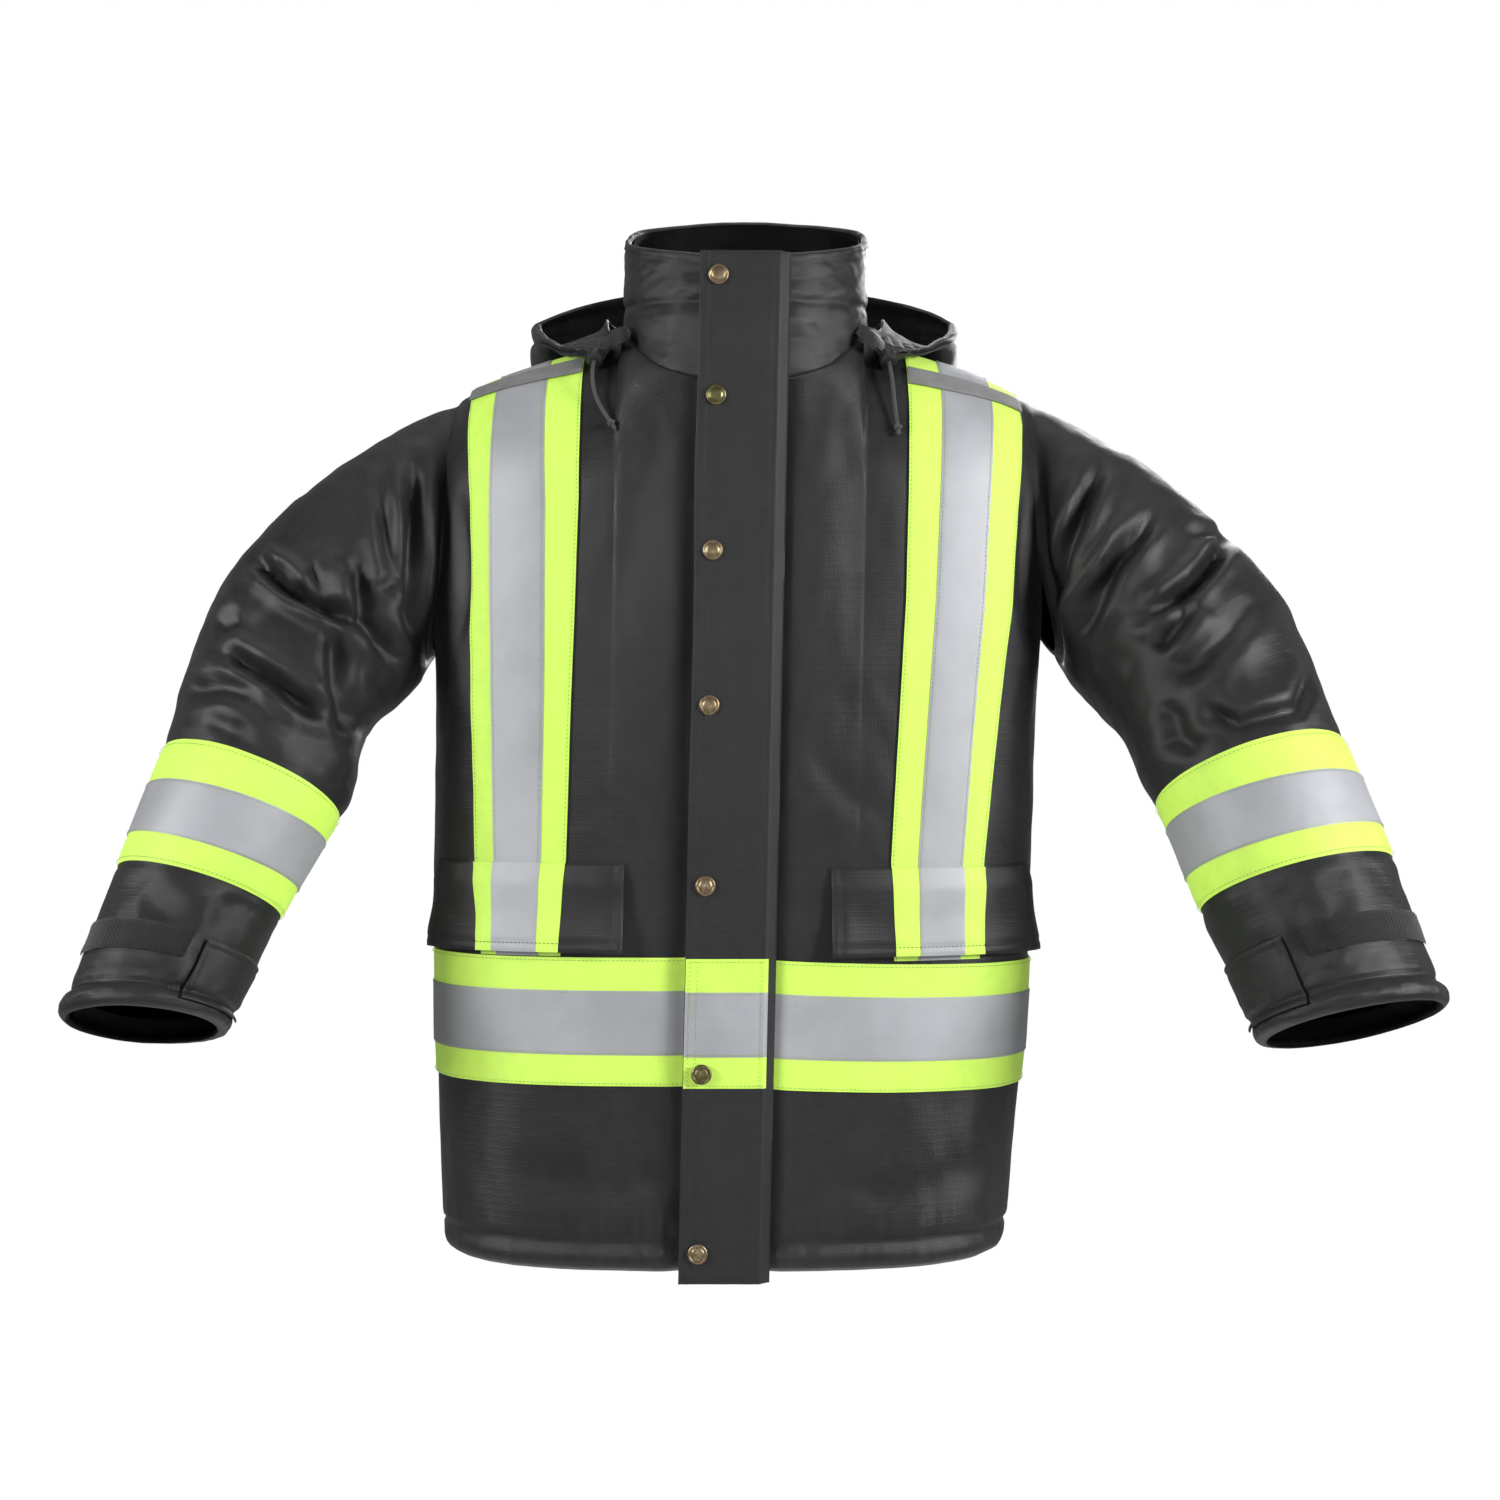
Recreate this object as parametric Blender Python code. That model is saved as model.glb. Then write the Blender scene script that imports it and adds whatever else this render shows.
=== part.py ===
"""Insulated high-visibility safety coat, zipped up and standing as if worn.

World frame: origin at the base of the wearer's neck, +X to the wearer's left,
-Y to the front, +Z up, in metres.
"""

import math

import bmesh
import bpy
import numpy as np
from mathutils import Matrix

# ------------------------------------------------------- driving dimensions
HEM_Z = -0.720
CHEST_Z = -0.110
UNDERARM_Z = -0.233
WIDTH_LEVELS = (-0.720, -0.690, -0.545, -0.220, -0.110)
HALF_WIDTHS = (0.229, 0.238, 0.247, 0.256, 0.254)
FRONT_DEPTH = 0.134
BACK_DEPTH = 0.124
SECTION_POWER = 3.0
LEAN = 0.0215  # sideways lean of the centre line, metres per metre of height
TOP_Z = 0.080
CENTRE_AT_TOP = -0.0035

NECK_RADIUS = 0.100
NECK_CENTRE_Y = -0.030
NECK_DEPTH = 0.104
NECK_POWER = 2.5
NECK_ANGLE = math.radians(37.0)
NECK_FRONT_Z = -0.019
NECK_SIDE_Z = 0.031
NECK_BACK_Z = 0.042
SHOULDER_TIP_X = 0.2355
SHOULDER_TIP_Z = -0.012
ARMHOLE_ANGLE = math.radians(21.0)
SEAM_GAP = 0.0012

COLLAR_RIM_FRONT_Z = 0.079
COLLAR_RIM_BACK_Z = 0.159

SHELL = 0.0020
TAPE = 0.0008
TAPE_LIFT = 0.0015
SILVER_LIFT = 0.0036
FLAP_LIFT = 0.0025
FLAP_TAPE_LIFT = 0.0058
POUCH_DEPTH = 0.0125
POUCH_RIM = 0.0055
POUCH_CLOTH = 0.0012
POUCH_Z = (-0.600, -0.400)
POUCH_SPAN = (0.36, 0.80)
BATT_LIFT = -0.0165
BATT = 0.0030
LINING_LIFT = -0.0215
LINING = 0.0010

SLOT_HALF = 0.0140
CHAIN_HALF = 0.0012
STORM_BACK_Y = -0.1405
STORM_FRONT_Y = -0.1435
STORM_FREE_X = -0.0350
STORM_SEAM_X = 0.0330
STORM_BOTTOM_Z = -0.7270
STUD_X = -0.0205
STUD_STRIP_HALF = 0.0055
SNAP_HEIGHTS = (0.061, -0.033, -0.154, -0.275, -0.416, -0.5625, -0.703)
SNAP_RADIUS = 0.0077
STUD_RADIUS = 0.0045
SLIDER_Z = 0.0660

WAIST_Z = (-0.574, -0.473)
WAIST_SILVER_Z = (-0.5495, -0.4990)
WAIST_DROP = 0.008  # the band sits this much lower at the wearer's left side
STRIPE_X = {"right": (-0.2240, -0.1340), "left": (0.1210, 0.2080)}
STRIPE_SILVER_X = {"right": (-0.2090, -0.1610), "left": (0.1446, 0.1850)}
FLAP_X = {"right": (-0.2530, -0.0990), "left": (0.0640, 0.2260)}
FLAP_Z = {"right": (-0.4690, -0.3990), "left": (-0.4720, -0.4030)}
SLIT_Z = (-0.4300, -0.4150)
STRIPE_FOOT = 0.0075  # the stripes start this far above the flap's seam
STRIPE_END = 0.88  # share of the way from the chest to the shoulder seam
SHOULDER_STRIP = (0.60, 0.74)  # share of the way from the chest to the seam

# Sleeve stations from armhole to cuff: centre x, y, z, tilt of the section in
# the frontal plane in degrees, half width and half depth.
SLEEVE_STATIONS = {
    "right": (
        (-0.2600, 0.008, -0.1220, 83.0, 0.1110, 0.0820),
        (-0.3640, -0.060, -0.2220, 121.0, 0.0900, 0.0840),
        (-0.3950, -0.118, -0.3370, 161.0, 0.0735, 0.0720),
        (-0.4270, -0.150, -0.4210, 165.0, 0.0655, 0.0650),
        (-0.4600, -0.192, -0.5180, 178.0, 0.0600, 0.0570),
    ),
    "left": (
        (0.2505, 0.008, -0.1220, 97.0, 0.1110, 0.0820),
        (0.3560, -0.060, -0.2250, 60.0, 0.0930, 0.0860),
        (0.3960, -0.118, -0.3300, 16.0, 0.0775, 0.0740),
        (0.4240, -0.150, -0.4150, 13.0, 0.0755, 0.0720),
        (0.4560, -0.192, -0.5180, 10.0, 0.0700, 0.0660),
    ),
}
SIDES = ("right", "left")
HEAD = (0.0, 0.30)
UPPER = (0.31, 0.95)
ELBOW = (0.96, 1.55)
FORE = (1.56, 4.0)
BAND = (2.0, 3.0)
BAND_SILVER = (2.27, 2.74)
TAB = (3.45, 3.90)
STRIP = (3.42, 3.62)
CUFF_T = 4.0
SQUARE_BY = 0.9  # from here on the sections lie square to the sleeve
ARMHOLE_TUCK = 0.012  # how far the front and back of the armhole reach towards the body
SHOULDER_AXIS_LIFT = 0.055
CROSS_ANGLE = math.radians(50.0)
CROSS_LIFT = 0.0038
ELBOW_AXIS_T = 1.25
ELBOW_AXIS_LIFT = 0.040

# Hood profile from the neck seam round the trough to the rim, as radius from
# the neck axis and height, at the back and at the side.
HOOD_BACK = (
    (0.120, 0.052), (0.150, 0.000), (0.164, -0.050), (0.182, -0.085),
    (0.204, -0.050), (0.209, 0.030), (0.198, 0.114),
)
HOOD_SIDE = (
    (0.114, 0.050), (0.124, 0.041), (0.140, 0.034), (0.160, 0.028),
    (0.180, 0.026), (0.190, 0.029), (0.188, 0.036),
)
HOOD_REACH = math.radians(104.0)
HOOD_AXIS = (0.0, -0.060, 0.080)
HOOD_CLEARANCE = 0.008

CORD_RADIUS = 0.0016
# Where each draw cord passes, as x, z and clearance from the chest.
CORD_TURNS = {
    "right": (
        (-0.1190, 0.0050, 0.0110), (-0.1215, -0.0150, 0.0105),
        (-0.1190, -0.0340, 0.0070), (-0.1080, -0.0540, 0.0050),
    ),
    "left": (
        (0.1060, 0.0040, 0.0110), (0.1090, -0.0160, 0.0105),
        (0.1120, -0.0360, 0.0070), (0.1150, -0.0570, 0.0050),
    ),
}

BLACK = (0.045, 0.045, 0.048)
DARK = (0.012, 0.012, 0.013)
NEON = (0.640, 0.960, 0.190)
SILVER = (0.420, 0.430, 0.450)
GREY = (0.200, 0.205, 0.200)
BRASS = (0.360, 0.240, 0.130)
STEEL = (0.300, 0.300, 0.310)


# ------------------------------------------------------------------ helpers
def clear_scene():
    for old in list(bpy.data.objects):
        bpy.data.objects.remove(old, do_unlink=True)


def material(name, colour, roughness, metallic=0.0):
    made = bpy.data.materials.new(name)
    made.use_nodes = True
    shader = made.node_tree.nodes["Principled BSDF"]
    shader.inputs["Base Color"].default_value = (*colour, 1.0)
    shader.inputs["Roughness"].default_value = roughness
    shader.inputs["Metallic"].default_value = metallic
    made.diffuse_color = (*colour, 1.0)
    return made


def finish_object(name, bm, mat):
    """Turns a closed bmesh into a smooth, outward-facing object of its own."""
    bmesh.ops.recalc_face_normals(bm, faces=bm.faces)
    mesh = bpy.data.meshes.new(name)
    bm.to_mesh(mesh)
    bm.free()
    mesh.materials.append(mat)
    mesh.shade_smooth()
    mesh.set_sharp_from_angle(angle=math.radians(40))
    made = bpy.data.objects.new(name, mesh)
    bpy.context.scene.collection.objects.link(made)
    return made


def put_origin(thing, point):
    """Moves an object's origin to a point without moving its shape."""
    offset = Matrix.Translation(point)
    thing.data.transform(offset.inverted())
    thing.matrix_world = offset


def unit(vectors):
    return vectors / np.maximum(np.linalg.norm(vectors, axis=-1, keepdims=True), 1e-12)


def outward_normals(points, inside, closed):
    """Normals of a point grid, turned away from the points listed in inside."""
    if closed:
        across = np.roll(points, -1, axis=1) - np.roll(points, 1, axis=1)
    else:
        across = np.gradient(points, axis=1)
    normals = unit(np.cross(across, np.gradient(points, axis=0)))
    if (normals * (points - inside)).sum() < 0:
        normals = -normals
    return normals


def split_cell(points, ring):
    """The two triangles of a grid cell, cut along its shorter diagonal.

    A layer's two faces share this cut, so that a thin wall never crosses itself where a cell is twisted.
    """
    a, b, c, d = ring
    if np.linalg.norm(points[a] - points[c]) <= np.linalg.norm(points[b] - points[d]):
        return (a, b, c), (a, c, d)
    return (a, b, d), (b, c, d)


def sheet_solid(name, mat, points, inside, high, thick, closed=False, holes=()):
    """A closed layer over a point grid. Its upper face lies high above the grid.

    holes lists the (row, column) cells that are left out.
    """
    normals = outward_normals(points, inside, closed)
    bm = bmesh.new()
    outer = [[bm.verts.new(p) for p in row] for row in points + normals * high]
    inner = [[bm.verts.new(p) for p in row] for row in points + normals * (high - thick)]
    rows, columns = points.shape[:2]
    spans = columns if closed else columns - 1
    used = {}
    for i in range(rows - 1):
        for j in range(spans):
            if (i, j) in holes:
                continue
            k = (j + 1) % columns
            ring = ((i, j), (i, k), (i + 1, k), (i + 1, j))
            for corners in split_cell(points, ring):
                bm.faces.new([outer[a][b] for a, b in corners])
                bm.faces.new([inner[a][b] for a, b in reversed(corners)])
            for start, end in zip(ring, ring[1:] + ring[:1]):
                used[(start, end)] = used.get((start, end), 0) + 1
    for start, end in used:
        if (end, start) not in used:
            (a, b), (c, d) = start, end
            bm.faces.new([outer[c][d], outer[a][b], inner[a][b], inner[c][d]])
    loose = [v for v in bm.verts if not v.link_faces]
    bmesh.ops.delete(bm, geom=loose, context="VERTS")
    return finish_object(name, bm, mat)


def extruded_outline(name, mat, outline, low, high):
    """A prism: outline points (x from the centre line, y) carried from low to high z."""
    bm = bmesh.new()
    rings = []
    for z in (low, high):
        rings.append([bm.verts.new((centre_x(z) + x, y, z)) for x, y in outline])
    bm.faces.new(rings[0])
    bm.faces.new(rings[1])
    count = len(outline)
    for i in range(count):
        k = (i + 1) % count
        bm.faces.new([rings[0][i], rings[0][k], rings[1][k], rings[1][i]])
    return finish_object(name, bm, mat)


def add_disc(bm, centre, radius, depth, sides=20):
    """Adds a disc facing -Y whose back face is at centre."""
    turn = Matrix.Rotation(math.radians(90), 4, "X")
    place = Matrix.Translation((centre[0], centre[1] - depth / 2, centre[2]))
    bmesh.ops.create_cone(
        bm,
        cap_ends=True,
        segments=sides,
        radius1=radius,
        radius2=radius,
        depth=depth,
        matrix=place @ turn,
    )


def add_box(bm, low, high):
    middle = [(a + b) / 2 for a, b in zip(low, high)]
    size = [b - a for a, b in zip(low, high)]
    scale = Matrix.Diagonal((*size, 1.0))
    bmesh.ops.create_cube(bm, size=1.0, matrix=Matrix.Translation(middle) @ scale)


def join(whole, addition):
    """Adds one closed object to another with a Boolean union, and hides the addition."""
    addition.hide_render = True
    addition.display_type = "WIRE"
    union = whole.modifiers.new("union", "BOOLEAN")
    union.operation = "UNION"
    union.solver = "EXACT"
    union.object = addition


def united(name, mat, pieces):
    """Joins closed pieces into one body with Boolean unions."""
    whole = finish_object(name, pieces[0], mat)
    for bm in pieces[1:]:
        join(whole, finish_object(name + "_addition", bm, mat))
    return whole


# --------------------------------------------------------------- torso form
def centre_x(z):
    return CENTRE_AT_TOP + LEAN * (z - TOP_Z)


def section_point(phi, z):
    """Point of the torso's level section; phi is 0 at the front, +90 degrees at +X."""
    half = np.interp(z, WIDTH_LEVELS, HALF_WIDTHS)
    depth = FRONT_DEPTH if math.cos(phi) > 0 else BACK_DEPTH
    across = abs(math.sin(phi)) / half
    along = abs(math.cos(phi)) / depth
    reach = (across**SECTION_POWER + along**SECTION_POWER) ** (-1 / SECTION_POWER)
    return np.array((centre_x(z) + reach * math.sin(phi), -reach * math.cos(phi), z))


def top_point(phi):
    """Point of the neckline or shoulder seam at the top of the column at phi."""
    side = 1.0 if math.sin(phi) >= 0 else -1.0
    front = math.cos(phi) > 0
    turn = math.asin(min(1.0, abs(math.sin(phi))))
    facing = -1.0 if front else 1.0
    over = 0.0
    if turn <= NECK_ANGLE:
        share = math.tan(turn) / math.tan(NECK_ANGLE)
        x = NECK_RADIUS * share
        y = NECK_CENTRE_Y + facing * NECK_DEPTH * (1 - share**NECK_POWER) ** (1 / NECK_POWER)
        middle_z = NECK_FRONT_Z if front else NECK_BACK_Z
        z = middle_z + (NECK_SIDE_Z - middle_z) * share**3
    else:
        share = (turn - NECK_ANGLE) / (math.pi / 2 - NECK_ANGLE)
        x = NECK_RADIUS + (SHOULDER_TIP_X - NECK_RADIUS) * share
        y = NECK_CENTRE_Y * (1 - share)
        z = NECK_SIDE_Z + (SHOULDER_TIP_Z - NECK_SIDE_Z) * share
        over = 1.0
    return np.array((centre_x(z) + side * x, y + facing * SEAM_GAP * min(1.0, share**4 + over), z))


def torso_point(phi, level):
    """Level is a height up to CHEST_Z, and above it CHEST_Z plus 0 to 1 round the shoulder."""
    if level <= CHEST_Z:
        return section_point(phi, level)
    turn = (level - CHEST_Z) * math.pi / 2
    base = section_point(phi, CHEST_Z)
    top = top_point(phi)
    inward = 1 - math.cos(turn)
    point = base * (1 - inward) + top * inward
    point[2] = CHEST_Z + (top[2] - CHEST_Z) * math.sin(turn)
    return point


def armhole_opening(level):
    """Angle between the side seam and the armhole's edge at a level."""
    z = level
    if level > CHEST_Z:
        turn = (level - CHEST_Z) * math.pi / 2
        z = CHEST_Z + (SHOULDER_TIP_Z - CHEST_Z) * math.sin(turn)
    middle = (UNDERARM_Z + SHOULDER_TIP_Z) / 2
    share = (z - middle) / ((SHOULDER_TIP_Z - UNDERARM_Z) / 2)
    return ARMHOLE_ANGLE * math.sqrt(max(0.0, 1 - share * share))


def phi_at(x, z):
    """The angle at which the front of the section at z passes over x."""
    low, high = -math.pi / 2, math.pi / 2
    for _ in range(40):
        middle = (low + high) / 2
        if section_point(middle, z)[0] < x:
            low = middle
        else:
            high = middle
    return low


def phi_on_body(x, level):
    """The angle at which the torso form, shoulders included, passes in front of x."""
    low, high = -math.pi / 2, math.pi / 2
    for _ in range(40):
        middle = (low + high) / 2
        if torso_point(middle, level)[0] < x:
            low = middle
        else:
            high = middle
    return low


def torso_axis(points):
    inside = points.copy()
    inside[..., 0] = [[centre_x(z) for z in row] for row in points[..., 2]]
    inside[..., 1] = 0.0
    inside[..., 2] -= 0.02
    return inside


def torso_patch(name, mat, levels, phis_of, high, thick, holes=()):
    """A layer over the torso form. phis_of gives the angles of one level's columns."""
    points = np.array([[torso_point(p, level) for p in phis_of(level)] for level in levels])
    return sheet_solid(name, mat, points, torso_axis(points), high, thick, holes=holes)


SHOULDER_SAMPLES = [
    torso_point(math.radians(angle), CHEST_Z + step / 16)
    for angle in range(0, 360, 4)
    for step in range(1, 17)
]
BODY_LEVELS = (-0.720, -0.690, -0.620, -0.545, -0.475, SLIT_Z[0], SLIT_Z[1],
               -0.350, -0.290, UNDERARM_Z, -0.221, -0.198, -0.160, CHEST_Z)
CAP_LEVELS = tuple(CHEST_Z + step for step in (0.25, 0.5, 0.75, 1.0))
SIDE_GAP = 0.005  # radians between the side seam and each panel's edge


def build_front_panel(side, mat):
    sign = -1.0 if side == "right" else 1.0
    start = math.atan(SLOT_HALF / FRONT_DEPTH)
    columns = 10

    def phis_of(level):
        end = math.pi / 2 - SIDE_GAP - armhole_opening(level)
        return [sign * (start + (end - start) * j / columns) for j in range(columns + 1)]

    slit_row = BODY_LEVELS.index(SLIT_Z[0])
    holes = {(slit_row, j) for j in range(4, 8)}
    levels = BODY_LEVELS + CAP_LEVELS
    return torso_patch(f"{side}_front_panel", mat, levels, phis_of, 0.0, SHELL, holes)


def build_back_panel(mat):
    columns = 20

    def phis_of(level):
        start = math.pi / 2 + SIDE_GAP + armhole_opening(level)
        end = 2 * math.pi - start
        return [start + (end - start) * j / columns for j in range(columns + 1)]

    return torso_patch("back_panel", mat, BODY_LEVELS + CAP_LEVELS, phis_of, 0.0, SHELL)


def build_inner_vest(name, mat, high, thick, bottom):
    """One layer round the body behind the shell, open at the front and the armholes."""
    levels = (bottom, -0.600, -0.475, -0.350, UNDERARM_Z, -0.170, CHEST_Z, CHEST_Z + 0.2)
    start = math.radians(18)
    columns = 28
    step = (2 * math.pi - 2 * start) / columns
    phis = [start + step * j for j in range(columns + 1)]
    holes = set()
    for i in range(4, len(levels) - 1):
        for j in range(columns):
            middle = start + step * (j + 0.5)
            if abs(abs(math.sin(middle)) - 1) < 1 - math.cos(ARMHOLE_ANGLE * 1.35):
                holes.add((i, j))
    return torso_patch(name, mat, levels, lambda level: phis, high, thick, holes)


def build_pouch(side, mat):
    """The pocket bag: a shallow tray hung behind the slit in the front panel."""
    sign = -1.0 if side == "right" else 1.0
    start = math.atan(SLOT_HALF / FRONT_DEPTH)
    end = math.pi / 2 - SIDE_GAP
    first, last = (start + (end - start) * share for share in POUCH_SPAN)
    levels = np.linspace(*POUCH_Z, 5)
    phis = np.linspace(sign * first, sign * last, 6)
    points = np.array([[section_point(p, z) for p in phis] for z in levels])
    inside = torso_axis(points)
    normals = outward_normals(points, inside, False)
    depth = np.full(points.shape[:2], POUCH_DEPTH)
    depth[0, :] = depth[-1, :] = POUCH_RIM
    depth[:, 0] = depth[:, -1] = POUCH_RIM
    points = points - normals * depth[..., None]
    return sheet_solid(f"{side}_pocket_bag", mat, points, inside, 0.0, POUCH_CLOTH)


# ------------------------------------------------------------------- collar
def collar_point(psi, share):
    """psi is 0 at the front; share is 0 at the neckline and 1 at the rim."""
    across = abs(math.sin(psi)) / NECK_RADIUS
    along = abs(math.cos(psi)) / NECK_DEPTH
    reach = (across**NECK_POWER + along**NECK_POWER) ** (-1 / NECK_POWER)
    x = reach * math.sin(psi)
    y = NECK_CENTRE_Y - reach * math.cos(psi)
    part = min(1.0, abs(x) / NECK_RADIUS)
    middle = NECK_FRONT_Z if math.cos(psi) > 0 else NECK_BACK_Z
    base = middle + (NECK_SIDE_Z - middle) * part**3 + 0.0035
    rim = COLLAR_RIM_FRONT_Z + (COLLAR_RIM_BACK_Z - COLLAR_RIM_FRONT_Z) * (1 - math.cos(psi)) / 2
    z = base + (rim - base) * share
    return np.array((centre_x(z) + x, y, z))


def build_collar(name, mat, high, thick, opening):
    start = math.atan(opening / NECK_DEPTH)
    psis = np.linspace(start, 2 * math.pi - start, 29)
    points = np.array([[collar_point(p, s) for p in psis] for s in np.linspace(0, 1, 5)])
    inside = points.copy()
    inside[..., 0] = 0.0
    inside[..., 1] = NECK_CENTRE_Y
    return sheet_solid(name, mat, points, inside, high, thick)


def build_hanger_loop(mat):
    """A short flat strip across the inside of the neck, standing clear of the lining."""
    back_y = NECK_CENTRE_Y + NECK_DEPTH - 0.0115
    x0 = centre_x(0.05)
    strip = bmesh.new()
    add_box(strip, (x0 - 0.030, back_y - 0.0100, 0.050), (x0 + 0.030, back_y - 0.0088, 0.058))
    ends = []
    for sign in (-1, 1):
        leg = bmesh.new()
        middle = x0 + sign * 0.0285
        add_box(leg, (middle - 0.0014, back_y - 0.0095, 0.0504), (middle + 0.0014, back_y, 0.0576))
        ends.append(leg)
    return united("hanger_loop", mat, [strip, *ends])


# -------------------------------------------------------- zipper, storm flap
def build_zipper_half(side, mat):
    sign = -1.0 if side == "right" else 1.0
    outline = [
        (CHAIN_HALF, -0.1325), (0.0040, -0.1325), (0.0040, -0.1302), (0.0180, -0.1302),
        (0.0180, -0.1292), (0.0040, -0.1292), (0.0040, -0.1280), (CHAIN_HALF, -0.1280),
    ]
    outline = [(sign * x, y) for x, y in outline]
    return extruded_outline(f"{side}_zipper_half", mat, outline, -0.712, 0.074)


def build_zipper_slider(mat):
    x = centre_x(SLIDER_Z)
    front = bmesh.new()
    add_box(front, (x - 0.0052, -0.1362, SLIDER_Z - 0.008), (x + 0.0052, -0.1336, SLIDER_Z + 0.007))
    rear = bmesh.new()
    add_box(rear, (x - 0.0052, -0.1272, SLIDER_Z - 0.008), (x + 0.0052, -0.1250, SLIDER_Z + 0.007))
    post = bmesh.new()
    add_box(post, (x - 0.0005, -0.1350, SLIDER_Z + 0.001), (x + 0.0005, -0.1265, SLIDER_Z + 0.006))
    return united("zipper_slider", mat, [front, rear, post])


def build_zipper_pull(mat):
    x = centre_x(SLIDER_Z)
    bm = bmesh.new()
    outline = [(0.0030, 0.004), (0.0030, -0.026), (0.0018, -0.029), (-0.0018, -0.029),
               (-0.0030, -0.026), (-0.0030, 0.004)]
    rings = []
    for y in (-0.1384, -0.1367):
        rings.append([bm.verts.new((x + px, y, SLIDER_Z + pz)) for px, pz in outline])
    bm.faces.new(rings[0])
    bm.faces.new(rings[1])
    for i in range(len(outline)):
        k = (i + 1) % len(outline)
        bm.faces.new([rings[0][i], rings[0][k], rings[1][k], rings[1][i]])
    made = finish_object("zipper_pull", bm, mat)
    put_origin(made, (x, -0.1375, SLIDER_Z))
    return made


def build_stud_strip(mat):
    outline = [
        (STUD_X - STUD_STRIP_HALF, -0.1355), (STUD_X + STUD_STRIP_HALF, -0.1355),
        (STUD_X + STUD_STRIP_HALF, -0.1345), (STUD_X - STUD_STRIP_HALF, -0.1345),
    ]
    strip = extruded_outline("snap_studs", mat, outline, -0.714, 0.072)
    for z in SNAP_HEIGHTS:
        stud = bmesh.new()
        add_disc(stud, (centre_x(z) + STUD_X, -0.1350, z), STUD_RADIUS, 0.0045, 12)
        join(strip, finish_object("snap_stud_addition", stud, mat))


def build_storm_flap(mat):
    leg = STORM_SEAM_X - 0.0030
    outline = [
        (STORM_FREE_X, STORM_FRONT_Y), (STORM_SEAM_X, STORM_FRONT_Y),
        (STORM_SEAM_X, -0.1345), (leg, -0.1345), (leg, STORM_BACK_Y),
        (STORM_FREE_X, STORM_BACK_Y),
    ]
    made = extruded_outline("storm_flap", mat, outline, STORM_BOTTOM_Z, TOP_Z)
    put_origin(made, (centre_x(-0.3) + STORM_SEAM_X + 0.0015, -0.1385, -0.3))
    return made


def build_storm_tape(name, mat, low, high, lift):
    outline = [
        (STORM_FREE_X + 0.0010, STORM_FRONT_Y - lift), (STORM_SEAM_X - 0.0010, STORM_FRONT_Y - lift),
        (STORM_SEAM_X - 0.0010, STORM_FRONT_Y - lift + TAPE),
        (STORM_FREE_X + 0.0010, STORM_FRONT_Y - lift + TAPE),
    ]
    return extruded_outline(name, mat, outline, low, high)


def build_snap_cap(number, z, mat):
    bm = bmesh.new()
    back = STORM_FRONT_Y - 0.0004
    on_tape = WAIST_Z[0] - 0.01 < z < WAIST_Z[1] + 0.01
    if on_tape:
        back -= SILVER_LIFT + 0.0003
    add_disc(bm, (centre_x(z) + STUD_X, back, z), SNAP_RADIUS, 0.0022)
    return finish_object(f"snap_cap_{number}", bm, mat)


# ------------------------------------------------------------ flaps and tape
def build_flap_layer(name, side, mat, span, high, thick, edge=0.0):
    low, top = FLAP_Z[side]
    levels = np.linspace(low + edge, top - edge, 3)
    first = phi_at(span[0], top)
    last = phi_at(span[1], top)
    columns = max(2, round(abs(last - first) / math.radians(7)))
    phis = np.linspace(first, last, columns + 1)
    return torso_patch(name, mat, levels, lambda level: phis, high, thick)


def flap_axis(side):
    """(a point on the flap's hinge line, the line's direction) at the top of the flap."""
    middle = sum(FLAP_X[side]) / 2
    top = FLAP_Z[side][1]
    phi = phi_at(middle, top)
    here = section_point(phi, top)
    along = section_point(phi + 0.01, top) - section_point(phi - 0.01, top)
    along[2] = 0.0
    along = along / np.linalg.norm(along)
    outward = np.array((along[1], -along[0], 0.0))
    return here + outward * 0.0048, along


def build_pocket_flap(side, shell_mat, neon_mat):
    thick = 0.002
    flap = build_flap_layer(
        f"{side}_pocket_flap", side, shell_mat, FLAP_X[side], FLAP_LIFT + thick, thick
    )
    point, _ = flap_axis(side)
    put_origin(flap, point)
    edge = 0.0015
    build_flap_layer(
        f"{side}_flap_tape", side, neon_mat, STRIPE_X[side], FLAP_TAPE_LIFT + TAPE, TAPE, edge
    )


def build_stripe(name, side, mat, span, lift):
    """A tape from above the pocket up the chest and over the shoulder seam's edge."""
    low = FLAP_Z[side][1] + STRIPE_FOOT
    levels = (low, -0.340, -0.280, -0.220, -0.165, CHEST_Z) + CAP_LEVELS[:3] + (CHEST_Z + STRIPE_END,)
    columns = np.linspace(*span, 5)

    def phis_of(level):
        return [phi_on_body(x, level) for x in columns]

    return torso_patch(name, mat, levels, phis_of, lift + TAPE, TAPE)


def build_waist_tape(name, mat, heights, lift):
    first = phi_at(centre_x(-0.52) + STORM_SEAM_X + 0.004, -0.52)
    last = 2 * math.pi + phi_at(centre_x(-0.52) + STUD_X - STUD_STRIP_HALF - 0.0030, -0.52)
    phis = np.linspace(first, last, 61)
    rows = []
    for z in (heights[0], (heights[0] + heights[1]) / 2 - 0.02, heights[1]):
        row = []
        for phi in phis:
            side = max(0.0, math.sin(phi))
            row.append(section_point(phi, z - WAIST_DROP * side))
        rows.append(row)
    points = np.array(rows)
    return sheet_solid(name, mat, points, torso_axis(points), lift + TAPE, TAPE)


def build_shoulder_strip(side, mat):
    columns = np.linspace(*STRIPE_X[side], 6)

    def phis_of(level):
        return [phi_on_body(x, level) for x in columns]

    levels = (CHEST_Z + SHOULDER_STRIP[0], CHEST_Z + SHOULDER_STRIP[1])
    return torso_patch(f"{side}_shoulder_strip", mat, levels, phis_of, 0.0062, 0.0010)


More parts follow.
